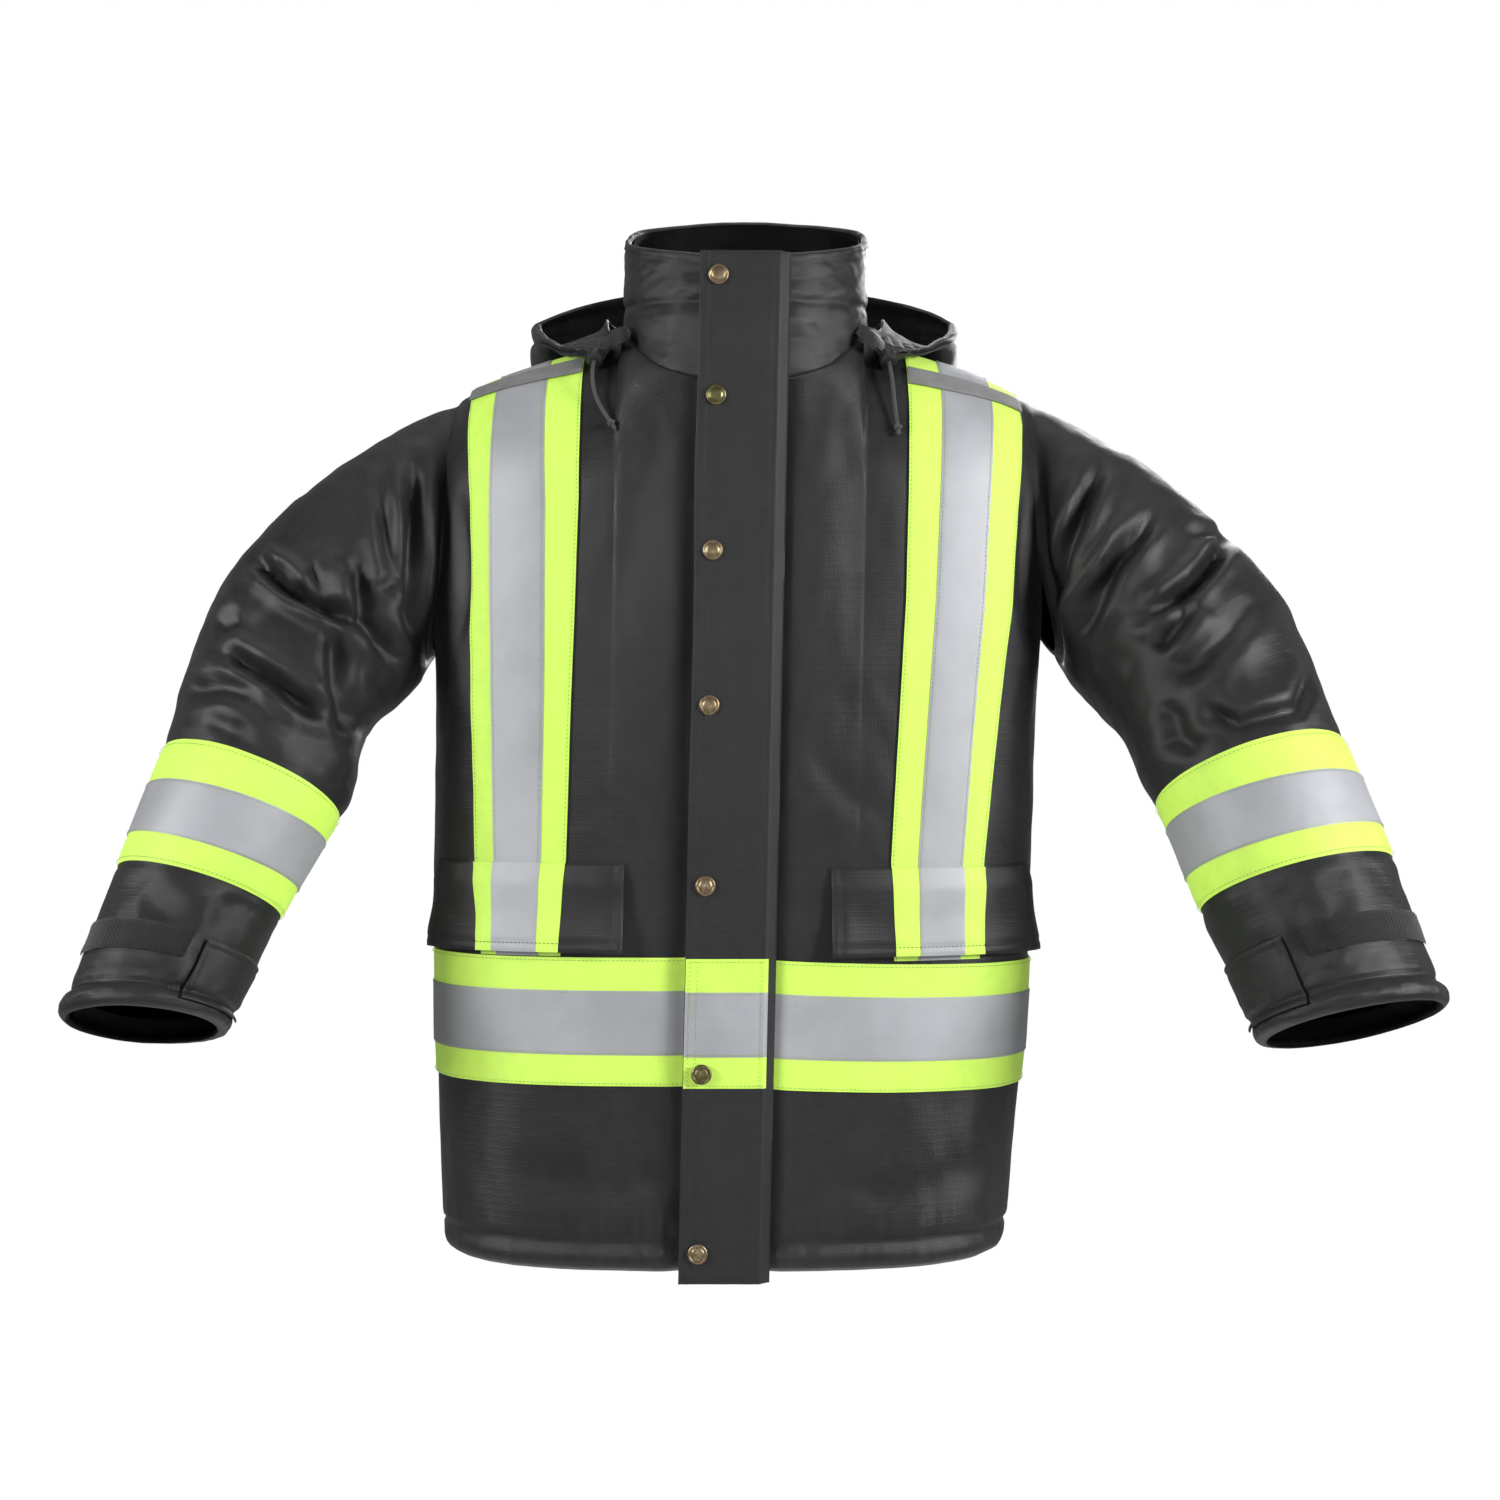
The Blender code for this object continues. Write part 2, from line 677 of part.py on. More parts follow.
def build_back_cross(name, mat, half_angle, lift):
    """Two tapes from the shoulders to the waist that cross between the shoulder blades."""
    low = -0.464
    levels = (*np.linspace(low, CHEST_Z, 10), *CAP_LEVELS[:3], CHEST_Z + 0.88)

    def strip(sign, extra):
        def phis_of(level):
            share = (min(level, CHEST_Z) - low) / (CHEST_Z - low)
            middle = math.pi + sign * CROSS_ANGLE * (2 * share - 1)
            return [middle + half_angle * step for step in (-1.0, -0.5, 0.0, 0.5, 1.0)]

        return torso_patch(name, mat, levels, phis_of, lift + extra + TAPE, TAPE)

    whole = strip(-1.0, 0.0)
    second = strip(1.0, 0.0003)
    second.name = name + "_addition"
    join(whole, second)


# ------------------------------------------------------------------ sleeves
def station(side, t):
    """Sleeve values at t, by a Catmull-Rom curve through the stations."""
    rows = np.array(SLEEVE_STATIONS[side])
    last = len(rows) - 1
    i = min(int(t), last - 1)
    f = t - i
    before, after = rows[max(i - 1, 0)], rows[min(i + 2, last)]
    a, b = rows[i], rows[i + 1]
    slope_a = (b - before) / (2 if i > 0 else 1)
    slope_b = (after - a) / (2 if i + 2 <= last else 1)
    h = (2 * f**3 - 3 * f**2 + 1, f**3 - 2 * f**2 + f, -2 * f**3 + 3 * f**2, f**3 - f**2)
    return h[0] * a + h[1] * slope_a + h[2] * b + h[3] * slope_b


def sleeve_frame(side, t):
    """(centre, across direction, forward direction, half width, half depth) at t."""
    here = station(side, t)
    step = 0.02
    tangent = station(side, min(t + step, CUFF_T))[:3] - station(side, max(t - step, 0))[:3]
    tilt = math.radians(here[3])
    across = np.array((math.cos(tilt), 0.0, math.sin(tilt)))
    forward = unit(np.cross(tangent, across))
    if forward[1] > 0:
        forward = -forward
    square = min(1.0, t / SQUARE_BY)
    forward = unit(forward * square + np.array((0.0, -1.0, 0.0)) * (1 - square))
    return here[:3], across, forward, here[4], here[5]


def sleeve_point(side, t, theta):
    centre, across, forward, wide, deep = sleeve_frame(side, t)
    point = centre + across * wide * math.cos(theta) + forward * deep * math.sin(theta)
    tuck = ARMHOLE_TUCK * math.sin(theta) ** 2 * max(0.0, 1 - t / 0.6)
    point[0] += tuck if side == "right" else -tuck
    return point


def sleeve_patch(name, side, mat, ts, thetas, high, thick, closed=False):
    points = np.array([[sleeve_point(side, t, a) for a in thetas] for t in ts])
    inside = np.array([[sleeve_frame(side, t)[0] for _ in thetas] for t in ts])
    return sheet_solid(name, mat, points, inside, high, thick, closed=closed)


def build_sleeve(side, mat):
    """Sleeve head, upper sleeve, elbow section and forearm as four tubes in line."""
    round_angles = np.linspace(0, 2 * math.pi, 16, endpoint=False)
    spans = (
        ("sleeve_head", HEAD, 3),
        ("upper_sleeve", UPPER, 4),
        ("elbow_section", ELBOW, 4),
        ("forearm_sleeve", FORE, 9),
    )
    for name, (low, high), count in spans:
        ts = np.linspace(low, high, count)
        made = sleeve_patch(f"{side}_{name}", side, mat, ts, round_angles, 0.0, SHELL, True)
        if name == "upper_sleeve":
            put_origin(made, shoulder_axis(side)[0])
        if name == "forearm_sleeve":
            put_origin(made, elbow_axis(side)[0])


def shoulder_axis(side):
    """The sleeve lifts about a front-to-back line near the top of the armhole."""
    centre, across, _, _, _ = sleeve_frame(side, HEAD[1] / 2)
    direction = 1.0 if side == "right" else -1.0
    return centre + across * SHOULDER_AXIS_LIFT, np.array((0.0, direction, 0.0))


def elbow_axis(side):
    """The forearm bends forward about a line across the sleeve near its front."""
    centre, _, forward, _, _ = sleeve_frame(side, ELBOW_AXIS_T)
    down = station(side, 2.5)[:3] - centre
    direction = unit(np.cross(unit(down), np.array((0.0, -1.0, 0.0))))
    return centre + forward * ELBOW_AXIS_LIFT, direction


def build_sleeve_trim(side, shell_mat, neon_mat, silver_mat):
    round_angles = np.linspace(0, 2 * math.pi, 24, endpoint=False)
    ts = np.linspace(*BAND, 4)
    sleeve_patch(f"{side}_sleeve_contrast_band", side, neon_mat, ts, round_angles,
                 TAPE_LIFT + TAPE, TAPE, True)
    ts = np.linspace(*BAND_SILVER, 3)
    sleeve_patch(f"{side}_sleeve_silver_band", side, silver_mat, ts, round_angles,
                 SILVER_LIFT + TAPE, TAPE, True)
    strip_angles = np.radians(np.linspace(20, 115, 9))
    sleeve_patch(f"{side}_cuff_loop_strip", side, shell_mat, np.linspace(*STRIP, 2),
                 strip_angles, TAPE_LIFT + TAPE, TAPE)
    tab_angles = np.radians(np.linspace(125, 188, 7))
    tab = sleeve_patch(f"{side}_cuff_tab", side, shell_mat, np.linspace(*TAB, 3),
                       tab_angles, FLAP_LIFT + 0.002, 0.002)
    put_origin(tab, tab_axis(side)[0])


def tab_axis(side):
    """The cuff tab peels off about its sewn end, on the inner side of the cuff."""
    ends = []
    for t in TAB:
        centre = sleeve_frame(side, t)[0]
        point = sleeve_point(side, t, math.radians(189))
        ends.append(point + unit(point - centre) * 0.0046)
    direction = unit(ends[1] - ends[0])
    return (ends[0] + ends[1]) / 2, direction


# ---------------------------------------------------------------- hood, cords
def hood_point(alpha, share):
    """alpha is 0 at the back; share runs from the neck seam to the rim."""
    back = max(0.0, math.cos(alpha)) ** 1.1
    steps = len(HOOD_BACK) - 1
    at = share * steps
    knots = np.arange(steps + 1)
    rows = [(1 - back) * np.array(s) + back * np.array(b) for s, b in zip(HOOD_SIDE, HOOD_BACK)]
    radius = np.interp(at, knots, [r[0] for r in rows])
    z = np.interp(at, knots, [r[1] for r in rows])
    excess = max(0.0, abs(alpha) - math.radians(72)) / (HOOD_REACH - math.radians(72))
    radius = 0.112 + (radius - 0.112) * (1 - 0.72 * excess)
    z = z + 0.010 * excess * (1 - share)
    x0 = centre_x(z)
    x = x0 + radius * math.sin(alpha)
    y = NECK_CENTRE_Y + radius * math.cos(alpha)
    return np.array((x, y, max(z, shoulder_height(x, y) + HOOD_CLEARANCE)))


def shoulder_height(x, y):
    """Height of the shoulders and upper back under a point, or the hem's where none is."""
    highest = HEM_Z
    near = 0.016
    for place in SHOULDER_SAMPLES:
        if abs(place[0] - x) < near and abs(place[1] - y) < near:
            highest = max(highest, place[2])
    return highest


def build_hood(mat):
    alphas = np.linspace(-HOOD_REACH, HOOD_REACH, 25)
    shares = np.linspace(0, 1, 7)
    points = np.array([[hood_point(a, s) for a in alphas] for s in shares])
    inside = points.copy()
    mouth = np.array([hood_point(a, 0.0) / 2 + hood_point(a, 1.0) / 2 for a in alphas])
    inside[:] = mouth
    made = sheet_solid("hood_shell", mat, points, inside, 0.0, SHELL)
    put_origin(made, HOOD_AXIS)


def chest_point(x, z, clearance):
    """The point in front of the chest's cap at x and z, that far off the cloth."""
    low, high = -math.pi / 2, math.pi / 2
    for _ in range(30):
        phi = (low + high) / 2
        top = top_point(phi)
        turn = math.asin(min(1.0, (z - CHEST_Z) / (top[2] - CHEST_Z)))
        point = torso_point(phi, CHEST_Z + turn * 2 / math.pi)
        if point[0] < x:
            low = phi
        else:
            high = phi
    outward = unit(point - np.array((point[0] * 0.6, 0.0, point[2] - 0.05)))
    return point + outward * clearance


def cord_route(side, count=12):
    """Points read from a Catmull-Rom curve through the cord's own points."""
    rows = np.array([chest_point(*turn) for turn in CORD_TURNS[side]])
    last = len(rows) - 1
    route = []
    for at in np.linspace(0, last, count):
        i = min(int(at), last - 1)
        f = at - i
        before, after = rows[max(i - 1, 0)], rows[min(i + 2, last)]
        a, b = rows[i], rows[i + 1]
        m0, m1 = (b - before) / 2, (after - a) / 2
        h = (2 * f**3 - 3 * f**2 + 1, f**3 - 2 * f**2 + f, -2 * f**3 + 3 * f**2, f**3 - f**2)
        route.append(h[0] * a + h[1] * m0 + h[2] * b + h[3] * m1)
    return route


def build_cord(side, mat):
    route = cord_route(side)
    curve = bpy.data.curves.new(f"{side}_draw_cord", "CURVE")
    curve.dimensions = "3D"
    curve.bevel_depth = CORD_RADIUS
    curve.bevel_resolution = 2
    curve.use_fill_caps = True
    spline = curve.splines.new("POLY")
    spline.points.add(len(route) - 1)
    for point, place in zip(spline.points, route):
        point.co = (*place, 1.0)
    curve.materials.append(mat)
    made = bpy.data.objects.new(f"{side}_draw_cord", curve)
    bpy.context.scene.collection.objects.link(made)


def build_tube(name, mat, start, end, outer, inner, sides=16):
    """A straight barrel with a hole through it along its length."""
    axis = unit(np.array(end) - np.array(start))
    side = unit(np.cross(axis, (1.0, 0.0, 0.0)))
    up = np.cross(side, axis)
    bm = bmesh.new()
    rings = []
    for place, radius in ((start, outer), (end, outer), (end, inner), (start, inner)):
        ring = []
        for k in range(sides):
            a = 2 * math.pi * k / sides
            ring.append(bm.verts.new(np.array(place) + radius * (math.cos(a) * side + math.sin(a) * up)))
        rings.append(ring)
    for a, b in zip(rings, rings[1:] + rings[:1]):
        for k in range(sides):
            m = (k + 1) % sides
            bm.faces.new([a[k], a[m], b[m], b[k]])
    return finish_object(name, bm, mat)


def lock_line(side):
    """(start, end) of the cord lock, which sits a little way down the cord."""
    route = np.array(cord_route(side))
    start = route[0] + (route[1] - route[0]) * 0.30
    direction = unit(route[2] - route[0])
    return start, start + direction * 0.0100


def build_cord_lock(side, mat):
    start, end = lock_line(side)
    made = build_tube(f"{side}_cord_lock", mat, start, end, 0.0075, 0.0032)
    put_origin(made, start)


# ----------------------------------------------------------------- assembly
def build_all():
    clear_scene()
    shell = material("shell_fabric", BLACK, 0.8)
    batt = material("insulation", DARK, 0.95)
    lining = material("lining", DARK, 0.7)
    neon = material("contrast_tape", NEON, 0.7)
    silver = material("silver_tape", SILVER, 0.45)
    grey = material("seam_tape", GREY, 0.6)
    brass = material("antique_brass", BRASS, 0.4, 1.0)
    steel = material("zipper_metal", STEEL, 0.4, 1.0)
    webbing = material("zipper_tape", DARK, 0.8)
    plastic = material("lock_plastic", DARK, 0.5)
    cord = material("cord", BLACK, 0.8)

    build_back_panel(shell)
    build_inner_vest("insulation_batt", batt, BATT_LIFT, BATT, -0.700)
    build_inner_vest("body_lining", lining, LINING_LIFT, LINING, -0.705)
    build_collar("collar_outer", shell, 0.0, SHELL, SLOT_HALF)
    build_collar("collar_lining", lining, -0.0060, 0.0015, SLOT_HALF + 0.008)
    build_hanger_loop(webbing)
    build_zipper_slider(steel)
    build_zipper_pull(steel)
    build_stud_strip(webbing)
    build_storm_flap(shell)
    build_storm_tape("storm_flap_contrast_tape", neon, *WAIST_Z, TAPE_LIFT + TAPE)
    build_storm_tape("storm_flap_silver_tape", silver, *WAIST_SILVER_Z, SILVER_LIFT + TAPE)
    for number, z in enumerate(SNAP_HEIGHTS, 1):
        build_snap_cap(number, z, brass)
    build_waist_tape("waist_contrast_tape", neon, WAIST_Z, TAPE_LIFT)
    build_waist_tape("waist_silver_tape", silver, WAIST_SILVER_Z, SILVER_LIFT)
    build_back_cross("back_contrast_cross", neon, math.radians(15.5), CROSS_LIFT)
    build_back_cross("back_silver_cross", silver, math.radians(8.0), CROSS_LIFT + 0.0026)
    build_hood(shell)
    for side in SIDES:
        build_front_panel(side, shell)
        build_zipper_half(side, webbing)
        build_pouch(side, lining)
        build_pocket_flap(side, shell, neon)
        neon_name, silver_name = f"{side}_front_contrast_stripe", f"{side}_front_silver_stripe"
        build_stripe(neon_name, side, neon, STRIPE_X[side], TAPE_LIFT)
        build_stripe(silver_name, side, silver, STRIPE_SILVER_X[side], SILVER_LIFT)
        build_shoulder_strip(side, grey)
        build_sleeve(side, shell)
        build_sleeve_trim(side, shell, neon, silver)
        build_cord(side, cord)
        build_cord_lock(side, plastic)


build_all()
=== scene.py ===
"""Looks of the insulated high-visibility coat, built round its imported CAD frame.

Row frame in metres: origin at the base of the wearer's neck, +X to the wearer's
left, -Y to the front, +Z up. right_ and left_ are the wearer's sides.
"""

import math

import bpy
import numpy as np
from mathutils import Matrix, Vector, noise


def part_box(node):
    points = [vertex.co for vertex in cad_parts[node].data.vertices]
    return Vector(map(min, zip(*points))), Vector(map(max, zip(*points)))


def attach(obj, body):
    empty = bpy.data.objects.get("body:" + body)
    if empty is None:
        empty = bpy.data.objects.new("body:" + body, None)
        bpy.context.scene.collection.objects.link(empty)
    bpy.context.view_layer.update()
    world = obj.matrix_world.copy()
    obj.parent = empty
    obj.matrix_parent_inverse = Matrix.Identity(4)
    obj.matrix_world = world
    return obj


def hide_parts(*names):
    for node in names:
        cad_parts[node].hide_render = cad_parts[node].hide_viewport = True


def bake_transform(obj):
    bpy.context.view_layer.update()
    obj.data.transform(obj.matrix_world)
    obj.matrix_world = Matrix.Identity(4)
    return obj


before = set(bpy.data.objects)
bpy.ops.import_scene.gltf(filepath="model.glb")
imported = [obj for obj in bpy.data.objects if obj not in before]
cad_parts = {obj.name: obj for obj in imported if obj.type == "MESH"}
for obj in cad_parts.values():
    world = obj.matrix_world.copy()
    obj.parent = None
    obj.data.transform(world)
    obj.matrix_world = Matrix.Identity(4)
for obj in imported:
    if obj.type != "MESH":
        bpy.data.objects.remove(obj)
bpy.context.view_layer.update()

SIDES = ("right", "left")
SIGN = {"right": -1.0, "left": 1.0}
TURN = 2 * math.pi


# ------------------------------------------------- sizes read from the frame
def low(node, axis):
    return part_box(node)[0][axis]


def high(node, axis):
    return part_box(node)[1][axis]


HEM_Z = low("right_front_panel", 2)
WAIST_Z = (low("storm_flap_contrast_tape", 2), high("storm_flap_contrast_tape", 2))
WAIST_SILVER_Z = (low("storm_flap_silver_tape", 2), high("storm_flap_silver_tape", 2))
FLAP_Z = {s: (low(f"{s}_pocket_flap", 2), high(f"{s}_pocket_flap", 2)) for s in SIDES}
SNAPS = [sum(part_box(f"snap_cap_{i}"), Vector()) / 2 for i in range(1, 8)]
STORM_LOW, STORM_HIGH = low("storm_flap", 2), high("storm_flap", 2)

# ------------------------------------------- the form that part.py is made on
CHEST_Z = -0.110
WIDTH_LEVELS = (-0.720, -0.690, -0.545, -0.220, -0.110)
HALF_WIDTHS = (0.229, 0.238, 0.247, 0.256, 0.254)
FRONT_DEPTH = 0.134
BACK_DEPTH = 0.124
SECTION_POWER = 3.0
LEAN = 0.0215
TOP_Z = 0.080
CENTRE_AT_TOP = -0.0035
NECK_RADIUS = 0.100
NECK_CENTRE_Y = -0.030
NECK_DEPTH = 0.104
NECK_POWER = 2.5
NECK_ANGLE = math.radians(37.0)
NECK_FRONT_Z = -0.019
NECK_SIDE_Z = 0.031
NECK_BACK_Z = 0.042
SHOULDER_TIP_X = 0.2355
SHOULDER_TIP_Z = -0.012
COLLAR_RIM_FRONT_Z = 0.079
COLLAR_RIM_BACK_Z = 0.159
SLOT_HALF = 0.0140
STORM_FREE_X = -0.0350
STORM_SEAM_X = 0.0330
STUD_X = -0.0205
WAIST_DROP = 0.008
STRIPE_X = {"right": (-0.2240, -0.1340), "left": (0.1210, 0.2080)}
# Height, then x of the contrast tape's first edge, the silver's two and its last.
STRIPE_LINES = {
    "right": (
        (-0.4640, -0.2130, -0.2003, -0.1663, -0.1489), (-0.3970, -0.2193, -0.2035, -0.1647, -0.1449),
        (-0.2700, -0.2233, -0.2059, -0.1623, -0.1409), (-0.1120, -0.2233, -0.2070, -0.1613, -0.1346),
        (-0.0330, -0.2284, -0.2063, -0.1631, -0.1345),
    ),
    "left": (
        (-0.4640, 0.1132, 0.1322, 0.1663, 0.1821), (-0.3970, 0.1108, 0.1322, 0.1686, 0.1861),
        (-0.1910, 0.1227, 0.1465, 0.1861, 0.2098), (-0.0330, 0.1265, 0.1533, 0.1957, 0.2219),
    ),
}
FLAP_X = {"right": (-0.2530, -0.0990), "left": (0.0640, 0.2260)}
SLEEVE_STATIONS = {
    "right": (
        (-0.2600, 0.008, -0.1220, 83.0, 0.1110, 0.0820),
        (-0.3640, -0.060, -0.2220, 121.0, 0.0900, 0.0840),
        (-0.3950, -0.118, -0.3370, 161.0, 0.0735, 0.0720),
        (-0.4270, -0.150, -0.4210, 165.0, 0.0655, 0.0650),
        (-0.4600, -0.192, -0.5180, 178.0, 0.0600, 0.0570),
    ),
    "left": (
        (0.2505, 0.008, -0.1220, 97.0, 0.1110, 0.0820),
        (0.3560, -0.060, -0.2250, 60.0, 0.0930, 0.0860),
        (0.3960, -0.118, -0.3300, 16.0, 0.0775, 0.0740),
        (0.4240, -0.150, -0.4150, 13.0, 0.0755, 0.0720),
        (0.4560, -0.192, -0.5180, 10.0, 0.0700, 0.0660),
    ),
}
HOOD_BACK = (
    (0.120, 0.052), (0.150, 0.000), (0.164, -0.050), (0.182, -0.085),
    (0.204, -0.050), (0.209, 0.030), (0.199, 0.123),
)
HOOD_SIDE = (
    (0.114, 0.050), (0.124, 0.041), (0.140, 0.034), (0.160, 0.028),
    (0.180, 0.026), (0.190, 0.029), (0.188, 0.037),
)
HOOD_REACH = math.radians(128.0)
HOOD_END = math.radians(16.0)
HOOD_SHRINK = 0.80
CORD_ROUTE = {
    "right": (
        (-0.1238, -0.0926, 0.0101), (-0.1243, -0.0964, 0.0059), (-0.1251, -0.1017, -0.0001),
        (-0.1257, -0.1072, -0.0067), (-0.1255, -0.1112, -0.0126), (-0.1249, -0.1141, -0.0182),
        (-0.1238, -0.1164, -0.0239), (-0.1222, -0.1185, -0.0295), (-0.1197, -0.1209, -0.0354),
        (-0.1159, -0.1234, -0.0420), (-0.1122, -0.1257, -0.0480), (-0.1095, -0.1273, -0.0522),
    ),
    "left": (
        (0.1103, -0.0942, 0.0091), (0.1108, -0.0977, 0.0050), (0.1116, -0.1028, -0.0010),
        (0.1123, -0.1080, -0.0076), (0.1129, -0.1117, -0.0136), (0.1134, -0.1144, -0.0195),
        (0.1138, -0.1164, -0.0254), (0.1142, -0.1183, -0.0314), (0.1148, -0.1202, -0.0376),
        (0.1155, -0.1222, -0.0445), (0.1162, -0.1239, -0.0508), (0.1167, -0.1250, -0.0552),
    ),
}
CORD_RADIUS = 0.0016
STRIPE_EDGES = ((0, 3), (1, 2))
STRIPE_TOP = CHEST_Z + 0.93
STRIP_LEVELS = {"right": (0.555, 0.680), "left": (0.490, 0.605)}
TAPE_THICK = 0.0009
FRONT_START = math.atan(SLOT_HALF / FRONT_DEPTH)
HEM_SEAM_Z = HEM_Z + 0.0225
STORM_FACE_Y = -0.1428
STORM_STITCH_X = (-0.0315, -0.0255, 0.0245)
DARK_SNAPS = (2, 6)
FLAP_SEAM_INSET = 0.0075
POCKET_LIMITS = (-0.236, 0.226)
# Places along a sleeve, counted in stations from the armhole to the cuff.
SPLIT_T = 0.63
CUFF_GROOVE_T = 3.84
BAND_SPANS = ((2.0, 3.0), (2.27, 2.74))
TAB_SPAN = (3.45, 3.90)
TAB_CURL = 0.0010
BACK_SHIFT = np.array((0.012, 0.0, -0.022))
# The studio.
CAMERA_PLACE = (0.0, -1.69, -0.31)
CAMERA_LENS = 47.6
AMBIENT = 0.20
FLOOR_REACH = 1.7
FLOOR_Z = -1.5
LAMP_AIM = Vector((0.0, -0.05, -0.25))


# ----------------------------------------------------------------- node help
def shader_of(mat):
    return mat.node_tree.nodes["Principled BSDF"]


def new_material(name, rough, metallic=0.0, specular=0.5):
    mat = bpy.data.materials.new(name)
    mat.use_nodes = True
    shader = shader_of(mat)
    shader.inputs["Roughness"].default_value = rough
    shader.inputs["Metallic"].default_value = metallic
    shader.inputs["Specular IOR Level"].default_value = specular
    return mat


def add(mat, kind, **values):
    node = mat.node_tree.nodes.new(kind)
    for key, value in values.items():
        if key in node.inputs:
            node.inputs[key].default_value = value
        else:
            setattr(node, key, value)
    return node


def link(mat, source, target):
    mat.node_tree.links.new(source, target)


def maths(mat, operation, a, b=None, clamp=False):
    node = add(mat, "ShaderNodeMath", operation=operation, use_clamp=clamp)
    for socket, value in zip(node.inputs, (a, b)):
        if value is None:
            continue
        if isinstance(value, (int, float)):
            socket.default_value = value
        else:
            link(mat, value, socket)
    return node.outputs[0]


def mixed(mat, share, a, b):
    node = add(mat, "ShaderNodeMix", data_type="RGBA")
    for socket, value in ((node.inputs[0], share), (node.inputs[6], a), (node.inputs[7], b)):
        if isinstance(value, (int, float)):
            socket.default_value = value
        elif isinstance(value, tuple):
            socket.default_value = (*value, 1.0)
        else:
            link(mat, value, socket)
    return node.outputs[2]


def noise_node(mat, vector, scale, detail=2.0, rough=0.5):
    node = add(mat, "ShaderNodeTexNoise", Scale=scale, Detail=detail, Roughness=rough)
    link(mat, vector, node.inputs["Vector"])
    return node.outputs["Fac"]


def ranged(mat, value, from_low, from_high, to_low, to_high):
    node = add(mat, "ShaderNodeMapRange")
    link(mat, value, node.inputs[0])
    for socket, number in zip(node.inputs[1:5], (from_low, from_high, to_low, to_high)):
        socket.default_value = number
    return node.outputs[0]


def bump(mat, height, strength, distance, under=None):
    node = add(mat, "ShaderNodeBump", Strength=strength, Distance=distance)
    link(mat, height, node.inputs["Height"])
    if under:
        link(mat, under, node.inputs["Normal"])
    return node.outputs[0]


def cloth_inputs(mat):
    """(place, length across the cloth, length along it, ridge) as node outputs."""
    split = add(mat, "ShaderNodeSeparateXYZ")
    link(mat, add(mat, "ShaderNodeUVMap", uv_map="cloth").outputs[0], split.inputs[0])
    ridge = add(mat, "ShaderNodeAttribute", attribute_name="ridge").outputs["Fac"]
    return add(mat, "ShaderNodeTexCoord").outputs["Object"], split.outputs[0], split.outputs[1], ridge


def shade(colour, amount):
    return tuple(c * amount for c in colour)


def threads(mat, across, along, pitch):
    """Plain weave height from the cloth's own lengths: warp over weft in a checker."""
    u = maths(mat, "MULTIPLY", across, TURN / 2 / pitch)
    v = maths(mat, "MULTIPLY", along, TURN / 2 / pitch)
    warp = maths(mat, "ABSOLUTE", maths(mat, "SINE", u))
    weft = maths(mat, "ABSOLUTE", maths(mat, "SINE", v))
    over = maths(mat, "MULTIPLY", maths(mat, "SINE", u), maths(mat, "SINE", v))
    over = maths(mat, "GREATER_THAN", over, 0.0)
    under = maths(mat, "SUBTRACT", 1.0, over)
    return maths(mat, "ADD", maths(mat, "MULTIPLY", warp, over), maths(mat, "MULTIPLY", weft, under))


def cloth(name, colour, worn, rough, pitch, relief, sheen=0.0, sheen_tint=None, grid=0.0, specular=0.4,
          mottle=0.72):
    """A woven material: thread height, uneven dye, random worn patches, painted light on fold ridges and
    painted shade in fold valleys.
    """
    mat = new_material(name, rough, 0.0, specular)
    shader = shader_of(mat)
    place, across, along, ridge = cloth_inputs(mat)
    weave = threads(mat, across, along, pitch)
    large = noise_node(mat, place, 7.0, 3.0)
    fine = noise_node(mat, place, 420.0, 2.0, 0.7)
    slub = noise_node(mat, place, 95.0, 3.0, 0.6)
    # Painted light and shade: the relief's fold ridges are lightened towards the worn colour and its fold
    # valleys darkened, added to random worn patches.
    fold_light_and_shade = ranged(mat, ridge, -0.004, 0.006, -0.22, 0.34)
    wear_and_fold_light = maths(mat, "ADD", fold_light_and_shade, ranged(mat, large, 0.35, 0.7, -0.12, 0.25), clamp=True)
    base = mixed(mat, ranged(mat, slub, 0.3, 0.7, 0.0, 1.0), shade(colour, mottle), colour)
    base = mixed(mat, wear_and_fold_light, base, worn)
    lines = ranged(mat, weave, 0.1, 0.9, 0.35, 0.0)
    base = mixed(mat, lines, base, shade(colour, 0.45))
    if grid:
        step = maths(mat, "MULTIPLY", along, TURN / 2 / grid)
        rib = maths(mat, "POWER", maths(mat, "ABSOLUTE", maths(mat, "SINE", step)), 14.0)
        base = mixed(mat, maths(mat, "MULTIPLY", rib, 0.13), base, shade(colour, 1.9))
        weave = maths(mat, "ADD", weave, maths(mat, "MULTIPLY", rib, 0.5))
    link(mat, base, shader.inputs["Base Color"])
    spread = ranged(mat, maths(mat, "ADD", slub, fine), 0.7, 1.3, rough - 0.07, rough + 0.09)
    link(mat, spread, shader.inputs["Roughness"])
    height = maths(mat, "ADD", weave, maths(mat, "MULTIPLY", fine, 0.6))
    woven = bump(mat, height, relief, 0.00025)
    link(mat, bump(mat, slub, 0.25, 0.0012, woven), shader.inputs["Normal"])
    shader.inputs["Sheen Weight"].default_value = sheen
    shader.inputs["Sheen Roughness"].default_value = 0.45
    if sheen_tint:
        shader.inputs["Sheen Tint"].default_value = (*sheen_tint, 1.0)
    return mat


